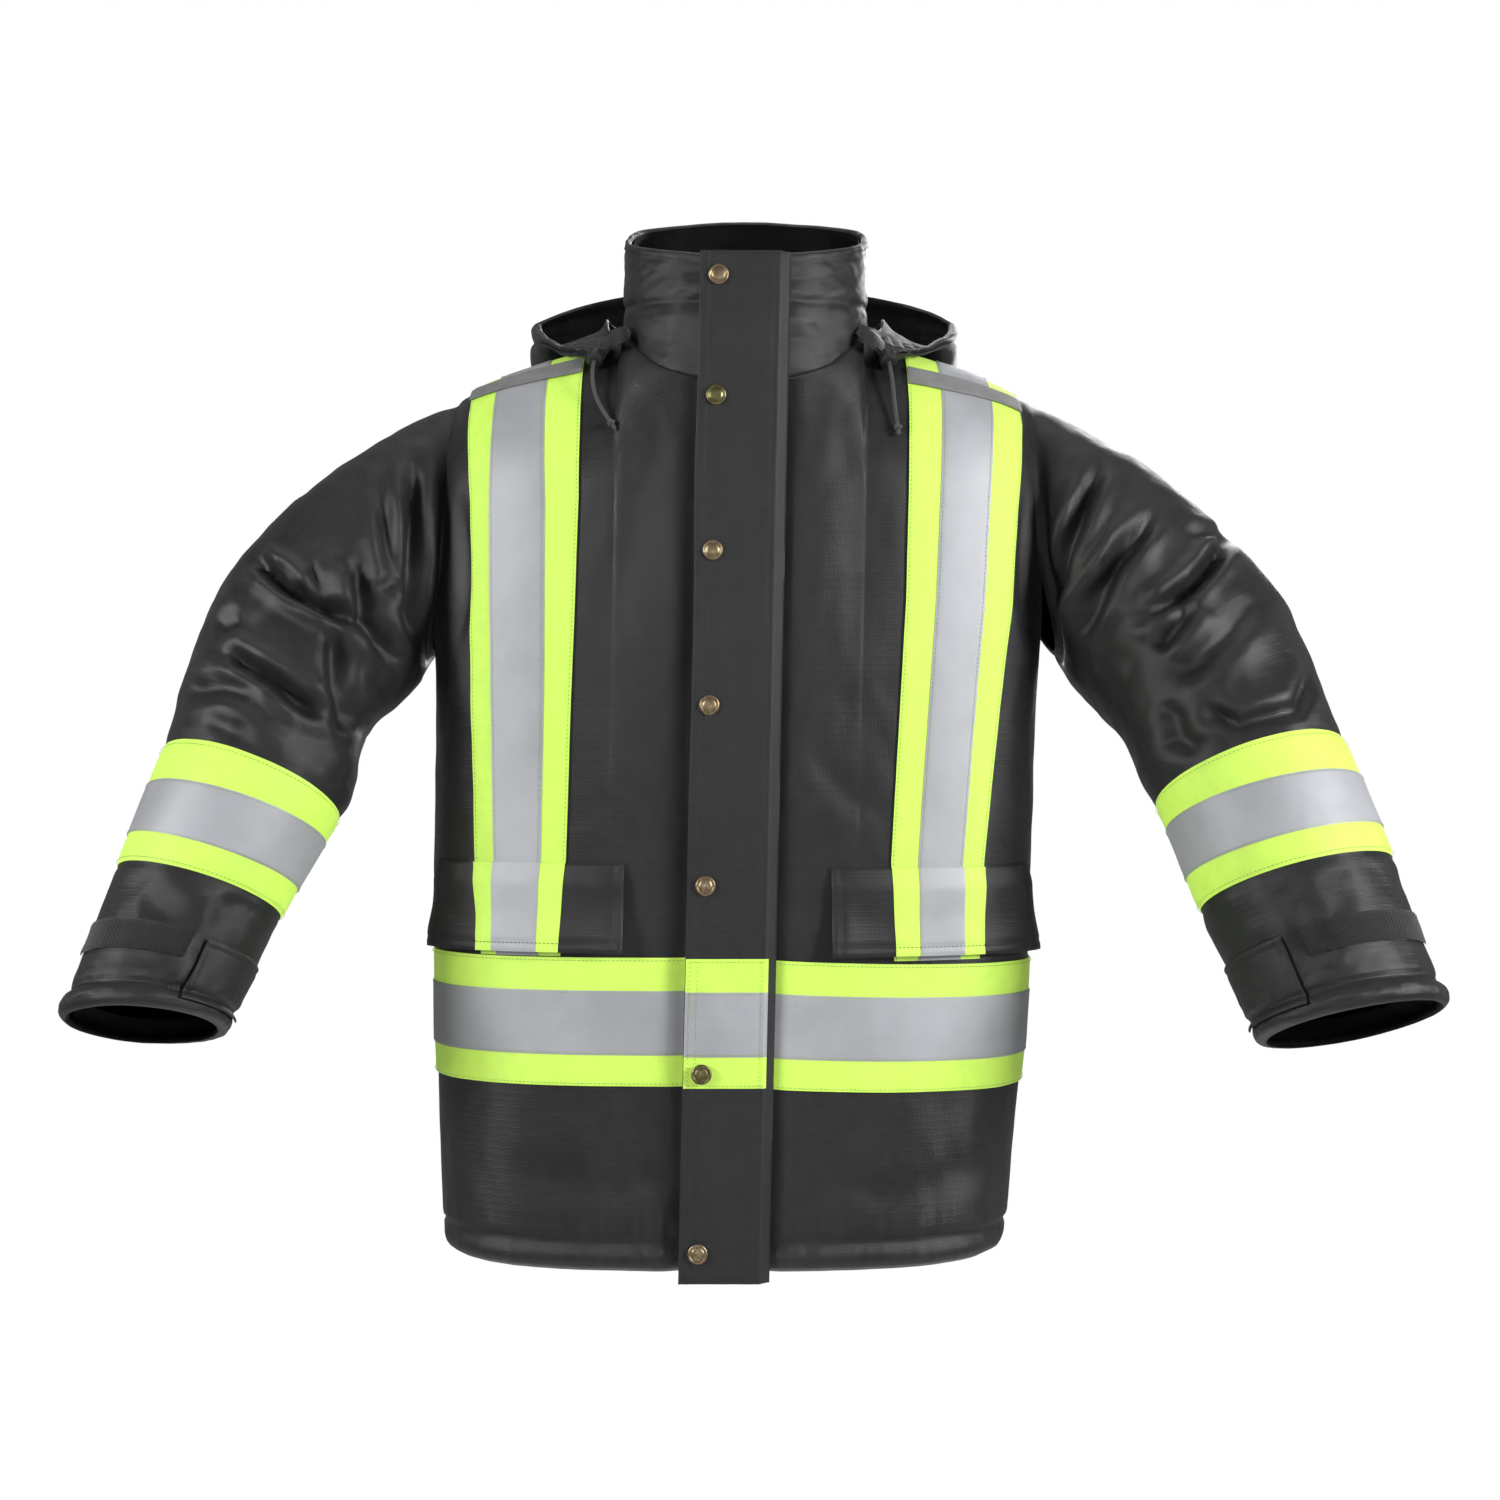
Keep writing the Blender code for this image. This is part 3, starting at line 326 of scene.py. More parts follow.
def silver_cloth(name):
    """Retroreflective tape: a pale grey bead layer with a fine diamond grid and scuffs."""
    mat = new_material(name, 0.50, 0.15, 0.5)
    shader = shader_of(mat)
    place, across, along, ridge = cloth_inputs(mat)
    weave = threads(mat, maths(mat, "ADD", across, along), maths(mat, "SUBTRACT", across, along), 0.0011)
    cloudy = noise_node(mat, place, 9.0, 4.0, 0.6)
    beads = noise_node(mat, place, 900.0, 1.0)
    scuffs = noise_node(mat, place, 60.0, 5.0, 0.75)
    base = mixed(mat, ranged(mat, cloudy, 0.35, 0.65, 0.0, 1.0), (0.31, 0.315, 0.335), (0.40, 0.41, 0.44))
    # Painted shade: the tape is darkened in the valleys of the relief.
    base = mixed(mat, ranged(mat, ridge, -0.003, 0.004, 0.30, 0.0), base, (0.27, 0.275, 0.29))
    base = mixed(mat, ranged(mat, scuffs, 0.60, 0.74, 0.0, 0.45), base, (0.30, 0.30, 0.30))
    base = mixed(mat, ranged(mat, weave, 0.0, 0.5, 0.18, 0.0), base, (0.26, 0.26, 0.27))
    link(mat, base, shader.inputs["Base Color"])
    link(mat, ranged(mat, cloudy, 0.3, 0.7, 0.46, 0.58), shader.inputs["Roughness"])
    link(mat, bump(mat, maths(mat, "ADD", weave, beads), 0.25, 0.0002), shader.inputs["Normal"])
    return mat


def hard(name, colour, worn, rough, metallic, grain=260.0):
    """Metal or moulded plastic: mottled colour, rubbed patches and a fine grain."""
    mat = new_material(name, rough, metallic)
    shader = shader_of(mat)
    place = add(mat, "ShaderNodeTexCoord").outputs["Object"]
    patches = noise_node(mat, place, 240.0, 4.0, 0.65)
    fine = noise_node(mat, place, grain * 10, 2.0)
    base = mixed(mat, ranged(mat, patches, 0.42, 0.62, 0.0, 1.0), colour, worn)
    link(mat, base, shader.inputs["Base Color"])
    link(mat, ranged(mat, patches, 0.3, 0.7, rough + 0.12, rough - 0.08), shader.inputs["Roughness"])
    link(mat, bump(mat, fine, 0.3, 0.0001), shader.inputs["Normal"])
    return mat


def make_materials():
    neon = cloth("neon_tape", (0.58, 0.88, 0.110), (0.64, 0.92, 0.16), 0.58, 0.0009, 0.35, 0.10,
                 mottle=0.90)
    shader = shader_of(neon)
    # Painted glow: the emission makes the tape give out light of its own.
    shader.inputs["Emission Color"].default_value = (0.62, 1.0, 0.12, 1.0)
    shader.inputs["Emission Strength"].default_value = 0.12
    return {
        "shell": cloth("coated_oxford", (0.0135, 0.0135, 0.0148), (0.026, 0.026, 0.0285), 0.37,
                       0.0011, 0.5, 0.04, (0.7, 0.7, 0.8), 0.0055, 0.34),
        "flap": cloth("coated_oxford_trim", (0.0145, 0.0145, 0.0158), (0.025, 0.025, 0.027), 0.46,
                      0.0011, 0.5, 0.04, (0.7, 0.7, 0.8), 0.0055, 0.34),
        # The lining is black, painted darker still than the shell: painted shade for the coat's insides.
        "lining": cloth("taffeta_lining", (0.0022, 0.0022, 0.0024), (0.005, 0.005, 0.0055), 0.55,
                        0.0006, 0.3, 0.0, None, 0.0, 0.05),
        "batt": cloth("quilted_batting", (0.020, 0.020, 0.022), (0.035, 0.035, 0.038), 0.85,
                      0.0016, 0.4, 0.2),
        "neon": neon,
        "silver": silver_cloth("silver_tape"),
        "grey": cloth("grey_piping", (0.20, 0.205, 0.20), (0.27, 0.27, 0.27), 0.5, 0.0008, 0.4, 0.1),
        "webbing": cloth("zipper_webbing", (0.014, 0.014, 0.015), (0.025, 0.025, 0.026), 0.7,
                         0.0013, 0.8, 0.2),
        "loop": cloth("loop_pile", (0.008, 0.008, 0.009), (0.016, 0.016, 0.017), 0.95, 0.0017, 1.0, 0.4),
        "cord": cloth("braided_cord", (0.060, 0.060, 0.062), (0.110, 0.110, 0.112), 0.6, 0.0009, 0.9, 0.2),
        "thread": cloth("black_thread", (0.020, 0.020, 0.021), (0.060, 0.060, 0.062), 0.55, 0.0004, 0.5),
        "tape_thread": cloth("pale_thread", (0.36, 0.50, 0.14), (0.50, 0.62, 0.24), 0.6, 0.0004, 0.5),
        "brass": hard("antique_brass", (0.200, 0.150, 0.088), (0.330, 0.260, 0.165), 0.42, 1.0),
        "dark_brass": hard("dark_brass", (0.115, 0.105, 0.045), (0.22, 0.20, 0.095), 0.42, 1.0),
        "steel": hard("zipper_metal", (0.13, 0.13, 0.135), (0.27, 0.27, 0.27), 0.32, 1.0),
        "plastic": hard("lock_plastic", (0.012, 0.012, 0.013), (0.024, 0.024, 0.025), 0.45, 0.0),
    }


MATS = make_materials()
TAPES = (("contrast", MATS["neon"], "contrast_tape"), ("silver", MATS["silver"], "silver_tape"))


# ---------------------------------------------------------------- mesh making
def unit(v):
    return v / np.maximum(np.linalg.norm(v, axis=-1, keepdims=True), 1e-12)


def smooth(value, start, end):
    t = np.clip((value - start) / (end - start), 0.0, 1.0)
    return t * t * (3 - 2 * t)


def bell(value, width):
    return np.exp(-((value / width) ** 2))


def rounded_edge(away, reach, least=0.02):
    """How full a cloth is at a distance from its rounded edge: 1 from reach onwards."""
    return np.sqrt(np.clip(1 - (1 - np.clip(away / reach, 0, 1)) ** 2, least, 1))


def hermite(f, a, slope_a, b, slope_b):
    first = (2 * f**3 - 3 * f**2 + 1) * a + (f**3 - 2 * f**2 + f) * slope_a
    return first + (3 * f**2 - 2 * f**3) * b + (f**3 - f**2) * slope_b


def facing_front(points):
    normals = np.zeros(points.shape)
    normals[..., 1] = -1.0
    return normals


def noise_at(points, scale, seed=0.0):
    """Smooth noise from -1 to 1 at each point of a grid. scale may differ per axis."""
    flat = points.reshape(-1, 3) * np.array(scale) + seed
    values = np.array([noise.noise(Vector(p)) for p in flat])
    return values.reshape(points.shape[:-1])


def grid_normals(points, inside, closed=False):
    if closed:
        across = np.roll(points, -1, axis=1) - np.roll(points, 1, axis=1)
    else:
        across = np.gradient(points, axis=1)
    normals = unit(np.cross(across, np.gradient(points, axis=0)))
    if (normals * (points - inside)).sum() < 0:
        normals = -normals
    return normals


def lengths_along(points, axis):
    steps = np.linalg.norm(np.diff(points, axis=axis), axis=-1)
    steps = steps.mean(axis=1 - axis)
    return np.concatenate([[0.0], np.cumsum(steps)])


def from_arrays(name, vertices, faces, uvs, ridge, mat, flat_normals=None):
    mesh = bpy.data.meshes.new(name)
    mesh.from_pydata(vertices.tolist(), [], faces)
    layer = mesh.uv_layers.new(name="cloth")
    loops = np.empty(len(mesh.loops), np.int32)
    mesh.loops.foreach_get("vertex_index", loops)
    layer.data.foreach_set("uv", uvs[loops].astype(np.float32).ravel())
    attribute = mesh.attributes.new("ridge", "FLOAT", "POINT")
    attribute.data.foreach_set("value", ridge.astype(np.float32))
    mesh.materials.append(mat)
    mesh.shade_smooth()
    if flat_normals is None:
        mesh.set_sharp_from_angle(angle=math.radians(50))
    else:
        mesh.normals_split_custom_set_from_vertices(flat_normals.tolist())
    made = bpy.data.objects.new(name, mesh)
    bpy.context.scene.collection.objects.link(made)
    return made


def layer(name, points, normals, lift, thick, mat, ridge=None, closed=False, rounded=True,
          holes=None, shading=None, inside=None):
    """A closed sheet of cloth over a point grid, its upper face lift above the grid.

    lift, thick and ridge may be arrays over the grid. holes is a mask of cells left out.
    """
    rows, columns = points.shape[:2]
    lift = np.broadcast_to(np.asarray(lift, float), (rows, columns))
    thick = np.broadcast_to(np.asarray(thick, float), (rows, columns)).copy()
    top = lift.copy()
    bottom = lift - thick
    if rounded:
        edge = np.ones((rows, columns))
        edge[[0, -1], :] = 0.35
        if not closed:
            edge[:, [0, -1]] = 0.35
        middle = (top + bottom) / 2
        top = middle + (top - middle) * edge
        bottom = middle + (bottom - middle) * edge
    outer = points + normals * top[..., None]
    inner = points + normals * bottom[..., None]
    vertices = np.concatenate([outer.reshape(-1, 3), inner.reshape(-1, 3)])
    u = lengths_along(points, 1)
    v = lengths_along(points, 0)
    uv = np.stack(np.meshgrid(u, v), axis=-1).reshape(-1, 2)
    uv = np.concatenate([uv, uv])
    ridge = np.zeros((rows, columns)) if ridge is None else np.broadcast_to(ridge, (rows, columns))
    marks = np.concatenate([ridge.ravel(), ridge.ravel()])
    index = np.arange(rows * columns).reshape(rows, columns)
    spans = columns if closed else columns - 1
    right = np.roll(index, -1, axis=1) if closed else index[:, 1:]
    a, b = index[:-1, :spans], right[:-1, :spans]
    c, d = right[1:, :spans], index[1:, :spans]
    keep = np.ones((rows - 1, spans), bool) if holes is None else ~holes
    quads = np.stack([a[keep], b[keep], c[keep], d[keep]], axis=-1)
    sample = quads[len(quads) // 2]
    facing = np.cross(vertices[sample[1]] - vertices[sample[0]], vertices[sample[2]] - vertices[sample[0]])
    if facing @ normals.reshape(-1, 3)[sample[0]] < 0:
        quads = quads[:, ::-1]
    count = rows * columns
    edges = {}
    for quad in quads.tolist():
        for start, end in zip(quad, quad[1:] + quad[:1]):
            if (end, start) in edges:
                del edges[(end, start)]
            else:
                edges[(start, end)] = True
    faces = quads.tolist() + (quads[:, ::-1] + count).tolist()
    faces += [[end, start, start + count, end + count] for start, end in edges]
    used = np.zeros(2 * count, bool)
    used[np.array(faces).ravel()] = True
    renumber = np.cumsum(used) - 1
    faces = [[int(renumber[i]) for i in face] for face in faces]
    if shading is not None:
        shading = np.concatenate([shading.reshape(-1, 3), -shading.reshape(-1, 3)])[used]
    made = from_arrays(name, vertices[used], faces, uv[used], marks[used], mat, shading)
    if inside:
        made.data.materials.append(inside)
        for face in list(made.data.polygons)[len(quads):2 * len(quads)]:
            face.material_index = 1
    return made


def place(obj, body, slot, nodes=()):
    if body:
        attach(obj, body)
    if nodes:
        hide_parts(*nodes)
    return obj


def gathered(name, parts, mat):
    """One object from several (vertices, faces) pairs."""
    vertices, faces, total = [], [], 0
    for points, cells in parts:
        vertices.append(np.asarray(points, float))
        faces += [[i + total for i in cell] for cell in cells]
        total += len(points)
    vertices = np.concatenate(vertices)
    return from_arrays(name, vertices, faces, vertices[:, [0, 2]], np.zeros(total), mat)


STITCH_FACES = [
    [0, 2, 3], [0, 3, 4], [0, 4, 5], [0, 5, 2], [1, 3, 2], [1, 4, 3], [1, 5, 4], [1, 2, 5],
]


def stitches(line, normals, pitch=0.0034, width=0.00034, rise=0.0002, slack=0.72):
    """(vertices, faces) of a row of thread dashes along a line of points."""
    line, normals = np.asarray(line, float), np.asarray(normals, float)
    steps = np.linalg.norm(np.diff(line, axis=0), axis=1)
    along = np.concatenate([[0.0], np.cumsum(steps)])
    count = max(1, int(along[-1] / pitch))
    vertices, faces = [], []
    for k in range(count):
        ends = []
        for at in ((k + 0.5 - slack / 2) * pitch, (k + 0.5 + slack / 2) * pitch):
            ends.append([np.interp(at, along, line[:, i]) for i in range(3)])
        start, end = np.array(ends)
        normal = unit(np.array([np.interp((k + 0.5) * pitch, along, normals[:, i]) for i in range(3)]))
        side = unit(np.cross(end - start, normal))
        middle = (start + end) / 2 + normal * rise
        base = len(vertices)
        vertices += [start, end, middle + side * width, middle + normal * width,
                     middle - side * width, middle - normal * width]
        faces += [[base + i for i in face] for face in STITCH_FACES]
    return np.array(vertices), faces


def seam(form, lift, **style):
    """Stitches lift above a line of cloth. form is what on_body and its like give for it."""
    points, normals = form[:2]
    if points.ndim == 3:
        points, normals = points[0], normals[0]
    return stitches(points + normals * lift, normals, **style)


def sew(name, rows, body, thread="thread", slot="shell_fabric"):
    """One piece from rows of stitches."""
    return place(gathered(name, rows, MATS[thread]), body, slot)


def lathe(profile, centre, axis, sides=40):
    """(vertices, faces) of a turned solid. profile is (radius, height along axis) from centre."""
    axis = unit(np.array(axis, float))
    helper = np.array((0.0, 0.0, 1.0)) if abs(axis[2]) < 0.9 else np.array((1.0, 0.0, 0.0))
    e1 = unit(np.cross(axis, helper))
    e2 = np.cross(axis, e1)
    vertices, faces = [], []
    for radius, height in profile:
        for k in range(sides):
            a = TURN * k / sides
            spoke = radius * (math.cos(a) * e1 + math.sin(a) * e2)
            vertices.append(np.array(centre) + axis * height + spoke)
    for i in range(len(profile) - 1):
        for k in range(sides):
            m = (k + 1) % sides
            faces.append([i * sides + k, i * sides + m, (i + 1) * sides + m, (i + 1) * sides + k])
    faces.append(list(reversed(range(sides))))
    last = (len(profile) - 1) * sides
    faces.append([last + k for k in range(sides)])
    return np.array(vertices), faces


def boxed(low_corner, high_corner):
    (x0, y0, z0), (x1, y1, z1) = low_corner, high_corner
    vertices = [(x, y, z) for x in (x0, x1) for y in (y0, y1) for z in (z0, z1)]
    faces = [[0, 1, 3, 2], [4, 6, 7, 5], [0, 4, 5, 1], [2, 3, 7, 6], [0, 2, 6, 4], [1, 5, 7, 3]]
    return np.array(vertices), faces


# ------------------------------------------------------------------ the form
def centre_x(z):
    return CENTRE_AT_TOP + LEAN * (z - TOP_Z)


def section(phi, z):
    phi, z = np.broadcast_arrays(np.asarray(phi, float), np.asarray(z, float))
    half = np.interp(z, WIDTH_LEVELS, HALF_WIDTHS)
    depth = np.where(np.cos(phi) > 0, FRONT_DEPTH, BACK_DEPTH)
    across = np.abs(np.sin(phi)) / half
    along = np.abs(np.cos(phi)) / depth
    reach = (across**SECTION_POWER + along**SECTION_POWER) ** (-1 / SECTION_POWER)
    return np.stack([centre_x(z) + reach * np.sin(phi), -reach * np.cos(phi), z], axis=-1)


def top(phi):
    phi = np.asarray(phi, float)
    side = np.where(np.sin(phi) >= 0, 1.0, -1.0)
    front = np.cos(phi) > 0
    turn = np.arcsin(np.minimum(1.0, np.abs(np.sin(phi))))
    facing = np.where(front, -1.0, 1.0)
    share = np.clip(np.tan(np.minimum(turn, NECK_ANGLE)) / math.tan(NECK_ANGLE), 0, 1)
    neck_x = NECK_RADIUS * share
    neck_y = NECK_CENTRE_Y + facing * NECK_DEPTH * (1 - share**NECK_POWER) ** (1 / NECK_POWER)
    middle = np.where(front, NECK_FRONT_Z, NECK_BACK_Z)
    neck_z = middle + (NECK_SIDE_Z - middle) * share**3
    out = np.clip((turn - NECK_ANGLE) / (math.pi / 2 - NECK_ANGLE), 0, 1)
    ridge_x = NECK_RADIUS + (SHOULDER_TIP_X - NECK_RADIUS) * out
    ridge_y = NECK_CENTRE_Y * (1 - out)
    ridge_z = NECK_SIDE_Z + (SHOULDER_TIP_Z - NECK_SIDE_Z) * out
    on_neck = turn <= NECK_ANGLE
    x = np.where(on_neck, neck_x, ridge_x)
    y = np.where(on_neck, neck_y, ridge_y)
    z = np.where(on_neck, neck_z, ridge_z)
    return np.stack([centre_x(z) + side * x, y, z], axis=-1)


def torso(phi, level):
    phi, level = np.broadcast_arrays(np.asarray(phi, float), np.asarray(level, float))
    turn = np.clip(level - CHEST_Z, 0, 1) * math.pi / 2
    base = section(phi, np.minimum(level, CHEST_Z))
    tops = top(phi)
    inward = (1 - np.cos(turn))[..., None]
    point = base * (1 - inward) + tops * inward
    rise = CHEST_Z + (tops[..., 2] - CHEST_Z) * np.sin(turn)
    point[..., 2] = np.where(level > CHEST_Z, rise, level)
    return point


def torso_inside(points):
    inside = points.copy()
    inside[..., 0] = centre_x(points[..., 2])
    inside[..., 1] = 0.0
    inside[..., 2] -= 0.02
    return inside


def torso_grid(phi, level):
    """(points, outward normals) of the form on a grid, from its own small differences."""
    points = torso(phi, level)
    step = 0.004
    across = torso(phi + step, level) - torso(phi - step, level)
    along = torso(phi, level + step) - torso(phi, level - step)
    normals = unit(np.cross(across, along))
    toward = (normals * (points - torso_inside(points))).sum(axis=-1, keepdims=True)
    return points, normals * np.where(toward < 0, -1.0, 1.0)


def angle_over(form, x, z, halvings):
    """The angle at which the front of a form passes over x."""
    x, z = np.broadcast_arrays(np.asarray(x, float), np.asarray(z, float))
    lowest = np.full(x.shape, -math.pi / 2)
    highest = -lowest
    for _ in range(halvings):
        middle = (lowest + highest) / 2
        less = form(middle, z)[..., 0] < x
        lowest = np.where(less, middle, lowest)
        highest = np.where(less, highest, middle)
    return lowest


def phi_at(x, z):
    """The angle over x on the section at height z."""
    return angle_over(section, x, z, 40)


def phi_on(x, level):
    """The angle over x on the whole form, shoulders included."""
    return angle_over(torso, x, level, 36)


def over_tape(points, normals):
    """1 where tape stiffens the body's cloth, and 0 elsewhere."""
    x, z = points[..., 0], points[..., 2]
    mask = bell(z - sum(WAIST_Z) / 2, 0.055)
    front = smooth(-normals[..., 1], 0.1, 0.5)
    for side in SIDES:
        middle = sum(STRIPE_X[side]) / 2
        mask = np.maximum(mask, bell(x - middle, 0.052) * front * smooth(z, -0.5, -0.4))
    return mask


def polyline_distance(points, line):
    """(distance in the frontal plane to a line of (x, z), share of the way along it)."""
    flat = points[..., [0, 2]]
    best = np.full(points.shape[:-1], 1e9)
    along = np.zeros(points.shape[:-1])
    for number, (start, end) in enumerate(zip(line, line[1:])):
        start, end = np.array(start), np.array(end)
        span = end - start
        share = np.clip(((flat - start) @ span) / (span @ span), 0, 1)
        away = np.linalg.norm(flat - start - share[..., None] * span, axis=-1)
        along = np.where(away < best, (number + share) / (len(line) - 1), along)
        best = np.minimum(best, away)
    return best, along


def strokes(points, lines):
    """Folds drawn as lines: a sharp valley with a soft roll on each side, dying away at the ends."""
    total = np.zeros(points.shape[:-1])
    for line, depth, width in lines:
        away, along = polyline_distance(points, line)
        deep = 1.18 * depth * smooth(np.minimum(along, 1 - along), -0.06, 0.24)
        total += -deep * bell(away, width) + 0.46 * deep * bell(away - 2.1 * width, 1.2 * width)
    return total


BODY_FOLDS = (
    (((-0.232, -0.100), (-0.228, -0.180), (-0.238, -0.230)), 0.0030, 0.0070),
    (((0.222, -0.095), (0.220, -0.180), (0.232, -0.230)), 0.0030, 0.0070),
    (((-0.060, -0.060), (-0.090, -0.110), (-0.100, -0.200)), 0.0012, 0.0150),
    (((0.070, -0.055), (0.090, -0.120), (0.085, -0.230)), 0.0014, 0.0150),
    (((0.045, -0.300), (0.075, -0.345), (0.110, -0.360)), 0.0010, 0.0110),
    (((-0.245, -0.480), (-0.215, -0.440), (-0.205, -0.380)), 0.0012, 0.0100),
    (((-0.060, -0.640), (-0.110, -0.655), (-0.190, -0.640)), 0.0014, 0.0130),
    (((0.050, -0.645), (0.120, -0.660), (0.200, -0.640)), 0.0014, 0.0130),
)


def body_relief(points, normals):
    """How far the filled cloth stands off the form."""
    x, z = points[..., 0], points[..., 2]
    calm = 1 - 0.62 * over_tape(points, normals)
    rise = 0.0026 * noise_at(points, 6.5, 3.1)
    rise += 0.0014 * noise_at(points, (24, 24, 11), 7.7)
    rise += 0.0007 * noise_at(points, (60, 60, 38), 1.9)
    rise += strokes(points, BODY_FOLDS) * smooth(-normals[..., 1], -0.1, 0.4)
    rise = rise * calm
    middle = centre_x(z)
    front = smooth(-normals[..., 1], 0.2, 0.6)
    for seam in (STORM_SEAM_X, STORM_FREE_X):
        rise -= 0.0026 * bell(x - middle - seam, 0.008) * front
    pucker = noise_at(points, (150, 150, 40), 5.5)
    hem = z - HEM_SEAM_Z
    rise += 0.0030 * bell(hem + 0.0115, 0.0085) * (1 + 0.35 * pucker)
    rise -= 0.0028 * bell(hem, 0.0030) * (1 + 0.3 * pucker)
    rise += 0.0010 * pucker * bell(hem - 0.010, 0.012)
    sides = bell(np.abs(normals[..., 0]) - 1.0, 0.02)
    return rise - 0.0022 * sides


def levels_to(top_level, count=150, caps=56, bottom=None):
    bottom = HEM_Z if bottom is None else bottom
    straight = np.linspace(bottom, CHEST_Z, count)
    return np.concatenate([straight, np.linspace(CHEST_Z, top_level, caps)[1:]])


def hem_profile(points, lift, thick):
    """Thickens the cloth towards the turned hem and rounds its lower edge."""
    height = points[..., 2] - HEM_Z
    fold = 1 - smooth(height, 0.014, 0.024)
    full = thick + 0.0055 * fold
    roll = rounded_edge(height, 0.0045)
    middle = lift - full / 2
    return middle + full * roll / 2, full * roll


def build_body():
    """Front panels and back panel as one filled shell, cut at the seams."""
    spans = {
        "right_front_panel": (-math.pi / 2, -FRONT_START),
        "left_front_panel": (FRONT_START, math.pi / 2),
        "back_panel": (math.pi / 2, 3 * math.pi / 2),
    }
    for name, (start, end) in spans.items():
        columns = 200 if name == "back_panel" else 120
        phi, level = np.meshgrid(np.linspace(start, end, columns), levels_to(CHEST_Z + 1.0))
        points, normals = torso_grid(phi, level)
        rise = body_relief(points, normals)
        points = points + normals * rise[..., None]
        lift, thick = hem_profile(points, 0.0, 0.0030)
        made = layer(f"{name}_cloth", points, normals, lift, thick, MATS["shell"], rise)
        place(made, "root", "shell_fabric", [name])


def on_body(phi, level):
    """(points, normals, relief) of the finished cloth at these places."""
    points, normals = torso_grid(phi, level)
    rise = body_relief(points, normals)
    return points + normals * rise[..., None], normals, rise


def body_seam(phi, level, lift):
    return seam(on_body(np.atleast_2d(phi), np.atleast_2d(level)), lift)


def tape_on_body(name, phi, level, lift, mat, slot, nodes, thick=TAPE_THICK):
    points, normals, rise = on_body(phi, level)
    made = layer(name, points, normals, lift, thick, mat, rise)
    return place(made, "root", slot, nodes)


def tape_seam_heights():
    """Heights of the rows of stitches along the waist tape's edges and its silver's."""
    return (WAIST_Z[0] + 0.0022, WAIST_Z[1] - 0.0022, WAIST_SILVER_Z[0] + 0.0016, WAIST_SILVER_Z[1] - 0.0016)


def build_waist_tape():
    start = float(phi_at(centre_x(-0.52) + STORM_SEAM_X - 0.002, -0.52))
    end = TURN + float(phi_at(centre_x(-0.52) + STUD_X - 0.0080, -0.52))
    phis = np.linspace(start, end, 420)
    drop = WAIST_DROP * np.maximum(0.0, np.sin(phis))
    for (name, mat, slot), heights, lift in zip(TAPES, (WAIST_Z, WAIST_SILVER_Z), (0.0021, 0.0029)):
        z = np.linspace(*heights, 27)[:, None] - drop[None, :]
        made = tape_on_body(f"waist_{name}_tape_cloth", np.broadcast_to(phis, z.shape), z, lift, mat, slot,
                            [f"waist_{name}_tape"])
    rows = [body_seam(phis, z - drop, 0.0028) for z in tape_seam_heights()]
    sew("waist_tape_stitches", rows, "root", "tape_thread", "contrast_tape")


def stripe_phi(side, edges, level):
    """Angles of a grid that runs between two of the stripe's edge lines at each level."""
    z = np.where(level > CHEST_Z, CHEST_Z + 0.13 * np.sin((level - CHEST_Z) * math.pi / 2), level)
    rows = np.array(STRIPE_LINES[side])
    first, last = (np.interp(z, rows[:, 0], rows[:, 1 + k]) for k in edges)
    share = np.linspace(0, 1, 25 if edges == STRIPE_EDGES[0] else 15)
    x = first[:, None] + (last - first)[:, None] * share
    return phi_on(x, level[:, None]), np.broadcast_to(level[:, None], x.shape)


def build_front_stripes():
    for side in SIDES:
        foot = WAIST_Z[1] + 0.0008 - WAIST_DROP * (0.5 if side == "left" else 0.0)
        level = levels_to(STRIPE_TOP, 110, 44, foot)
        inset = math.radians(0.45)
        rows = []
        widths, lifts = (0.090, 0.048), (0.0020, 0.0028)
        for (name, mat, slot), edges, width, lift in zip(TAPES, STRIPE_EDGES, widths, lifts):
            phi, levels = stripe_phi(side, edges, level)
            made = tape_on_body(f"{side}_front_{name}_stripe_cloth", phi, levels, lift, mat, slot,
                                [f"{side}_front_{name}_stripe"])
            for column, way in ((0, 1), (-1, -1)):
                rows.append(body_seam(phi[:, column] + way * inset, level, lift + 0.0001))
        sew(f"{side}_stripe_stitches", rows, "root", "tape_thread", "contrast_tape")


def build_back_cross():
    foot = WAIST_Z[1] + 0.0008
    level = levels_to(STRIPE_TOP, 100, 44, foot)
    share = (np.minimum(level, CHEST_Z) - foot) / (CHEST_Z - foot)
    for (name, mat, slot), degrees, width, lift in zip(TAPES, (15.5, 8.0), (0.105, 0.054), (0.0020, 0.0038)):
        half = math.radians(degrees)
        for number, sign in enumerate((-1.0, 1.0)):
            middle = math.pi + sign * math.radians(50.0) * (2 * share - 1)
            phi = middle[:, None] + np.linspace(-half, half, 23)[None, :]
            levels = np.broadcast_to(level[:, None], phi.shape)
            nodes = [f"back_{name}_cross"] if number == 0 else []
            made = tape_on_body(f"back_{name}_strip_{number + 1}", phi, levels, lift + 0.0010 * number, mat,
                                slot, nodes)


def build_shoulder_strips():
    for side in SIDES:
        phi, level = stripe_phi(side, STRIPE_EDGES[0], CHEST_Z + np.linspace(*STRIP_LEVELS[side], 12))
        made = tape_on_body(f"{side}_shoulder_piping", phi, level, 0.0046, MATS["grey"], "seam_tape",
                            [f"{side}_shoulder_strip"], 0.0022)


